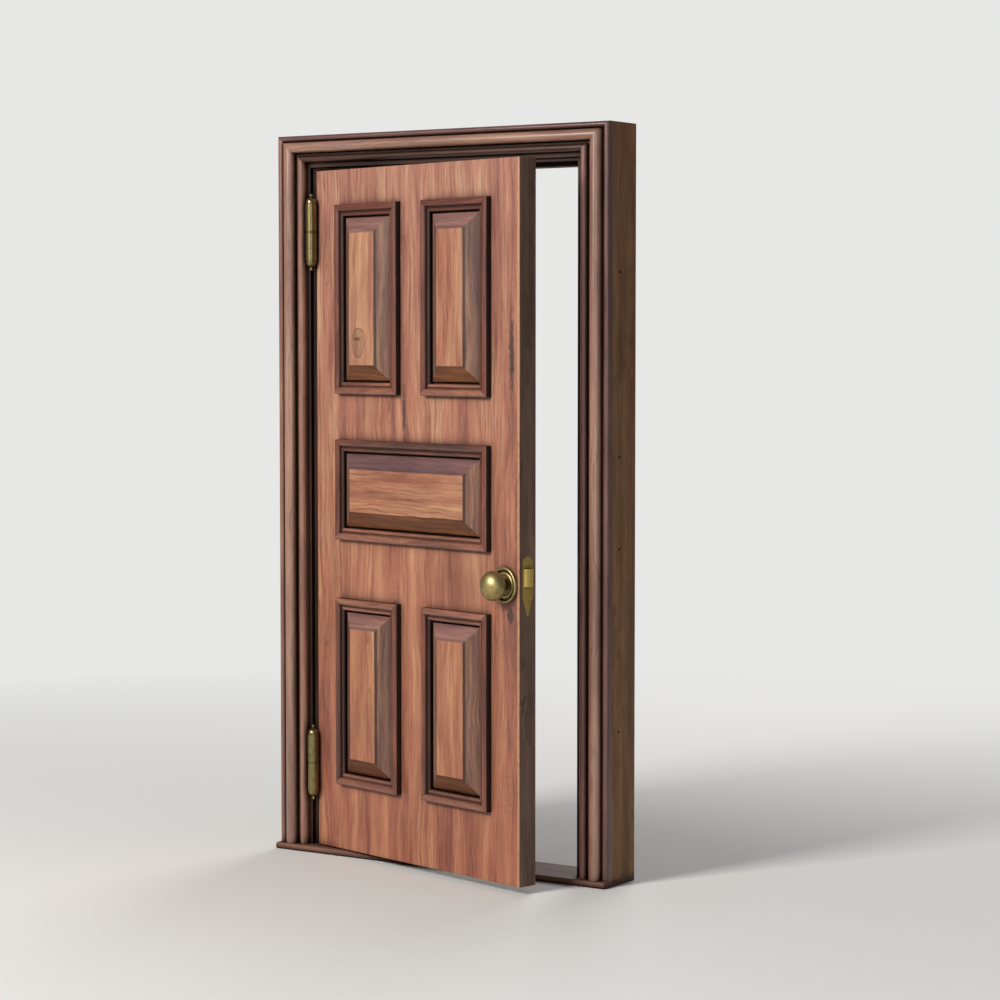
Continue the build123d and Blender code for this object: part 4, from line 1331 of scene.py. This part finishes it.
@dataclass(frozen=True)
class SoftLight:
    """A square studio light.

    Attributes:
        name: Its name.
        place: Where it stands, in metres.
        aim: What it points at.
        side: Length of its sides in metres.
        power: Its power in watts.
        colour: Its colour.
    """

    name: str
    place: Triple
    aim: Triple
    side: float
    power: float
    colour: Colour = (1.0, 1.0, 1.0)

    def build(self) -> None:
        """Hang the light."""
        bpy.ops.object.select_all(action="DESELECT")
        bpy.ops.object.light_add(type="AREA", location=self.place)
        lamp = bpy.context.object
        lamp.name = self.name
        way = Vector(self.aim) - Vector(self.place)
        lamp.rotation_euler = way.to_track_quat("-Z", "Y").to_euler()
        lamp.data.size = self.side
        lamp.data.energy = self.power
        lamp.data.color = self.colour


@dataclass
class Studio:
    """Pale floor, soft light and the photograph's camera."""

    floor_size: float = 60.0
    fade_start: float = 0.9
    fade_end: float = 5.0
    floor_colour: Colour = (0.72, 0.71, 0.69)
    speck_colour: Colour = (0.6, 0.6, 0.6)
    speck_share: float = 0.05
    floor_rough: float = 0.85
    floor_shine: float = 0.2
    backdrop: Colour = (0.80, 0.80, 0.79)
    air: Colour = (0.92, 0.95, 1.0)
    air_strength: float = 0.22
    camera_place: Triple = (4.5987, -6.6853, 1.5572)
    camera_pitch: float = math.radians(90.0 - 3.346)
    camera_yaw: float = math.radians(33.255)
    sensor: float = 36.0
    lens: float = 100.0
    sight: float = 200.0
    lights: tuple[SoftLight, ...] = field(
        default_factory=lambda: (
            SoftLight("key_light", (-1.6, -6.0, 4.2), DOOR_MIDDLE, 1.8, 520.0, (1.0, 0.97, 0.93)),
            SoftLight("fill_light", (3.4, -5.6, 1.6), DOOR_MIDDLE, 2.5, 40.0, (0.95, 0.97, 1.0)),
            SoftLight("back_light", (-1.0, 5.0, 3.4), DOOR_MIDDLE, 2.5, 140.0, (1.0, 0.98, 0.95)),
        )
    )

    def build(self) -> None:
        """Set up the floor, the air, the lights and the camera."""
        self._floor()
        self._air()
        for light in self.lights:
            light.build()
        self._camera()

    def _floor(self) -> None:
        """Lay the floor under the threshold, fading into the backdrop where the camera sees it."""
        bpy.ops.object.select_all(action="DESELECT")
        bpy.ops.mesh.primitive_plane_add(size=self.floor_size)
        floor = bpy.context.object
        floor.name = "floor"
        graph = Graph("floor_paint")
        place = graph.coordinates()
        specks = graph.noise(place, FLOOR_SPECKS)
        share = graph.between(specks, *FLOOR_SPECKS.span, 0.0, self.speck_share)
        pale = graph.mix(share, self.floor_colour, self.speck_colour)
        painted = graph.surface(
            Base_Color=pale, Roughness=self.floor_rough, Specular_IOR_Level=self.floor_shine
        )
        floor.data.materials.append(painted)
        shader = graph.tree.nodes["Principled BSDF"].outputs["BSDF"]
        output = graph.tree.nodes["Material Output"].inputs["Surface"]
        away = graph.node("VectorMath", {0: place}, operation="LENGTH").outputs["Value"]
        fade = graph.between(away, self.fade_start, self.fade_end)
        seen = graph.maths("MULTIPLY", fade, graph.node("LightPath").outputs["Is Camera Ray"])
        haze = graph.node("Emission", {"Color": self.backdrop}).outputs["Emission"]
        mixed = graph.node("MixShader", {0: seen, 1: shader, 2: haze})
        graph.feed(output, mixed.outputs["Shader"])
        floor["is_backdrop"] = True

    def _air(self) -> None:
        """Light the scene evenly, with a pale sky where the camera sees it."""
        world = bpy.data.worlds.new("air")
        bpy.context.scene.world = world
        world.use_nodes = True
        tree = world.node_tree
        tree.nodes.clear()
        path = tree.nodes.new("ShaderNodeLightPath")
        dim = tree.nodes.new("ShaderNodeBackground")
        dim.inputs["Color"].default_value = (*self.air, 1.0)
        dim.inputs["Strength"].default_value = self.air_strength
        seen = tree.nodes.new("ShaderNodeBackground")
        seen.inputs["Color"].default_value = (*self.backdrop, 1.0)
        mixed = tree.nodes.new("ShaderNodeMixShader")
        output = tree.nodes.new("ShaderNodeOutputWorld")
        tree.links.new(path.outputs["Is Camera Ray"], mixed.inputs[0])
        tree.links.new(dim.outputs[0], mixed.inputs[1])
        tree.links.new(seen.outputs[0], mixed.inputs[2])
        tree.links.new(mixed.outputs[0], output.inputs["Surface"])

    def _camera(self) -> None:
        """Stand the camera where the photograph was taken."""
        bpy.ops.object.select_all(action="DESELECT")
        turn = (self.camera_pitch, 0.0, self.camera_yaw)
        bpy.ops.object.camera_add(location=self.camera_place, rotation=turn)
        camera = bpy.context.object
        camera.name = "photo_camera"
        camera.data.sensor_width = self.sensor
        camera.data.lens = self.lens
        camera.data.clip_end = self.sight
        bpy.context.scene.camera = camera
        bpy.context.scene.view_settings.view_transform = "Standard"


def main() -> None:
    """Dress every sub-assembly, then set up the studio."""
    logging.basicConfig(level=logging.INFO, format="%(name)s %(message)s")
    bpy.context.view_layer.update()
    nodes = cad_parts
    for assembly in (DoorFrame(nodes), Leaf(nodes), PanelWork(nodes), Ironmongery(nodes)):
        assembly.dress()
    Studio().build()


if __name__ == "__main__":
    main()
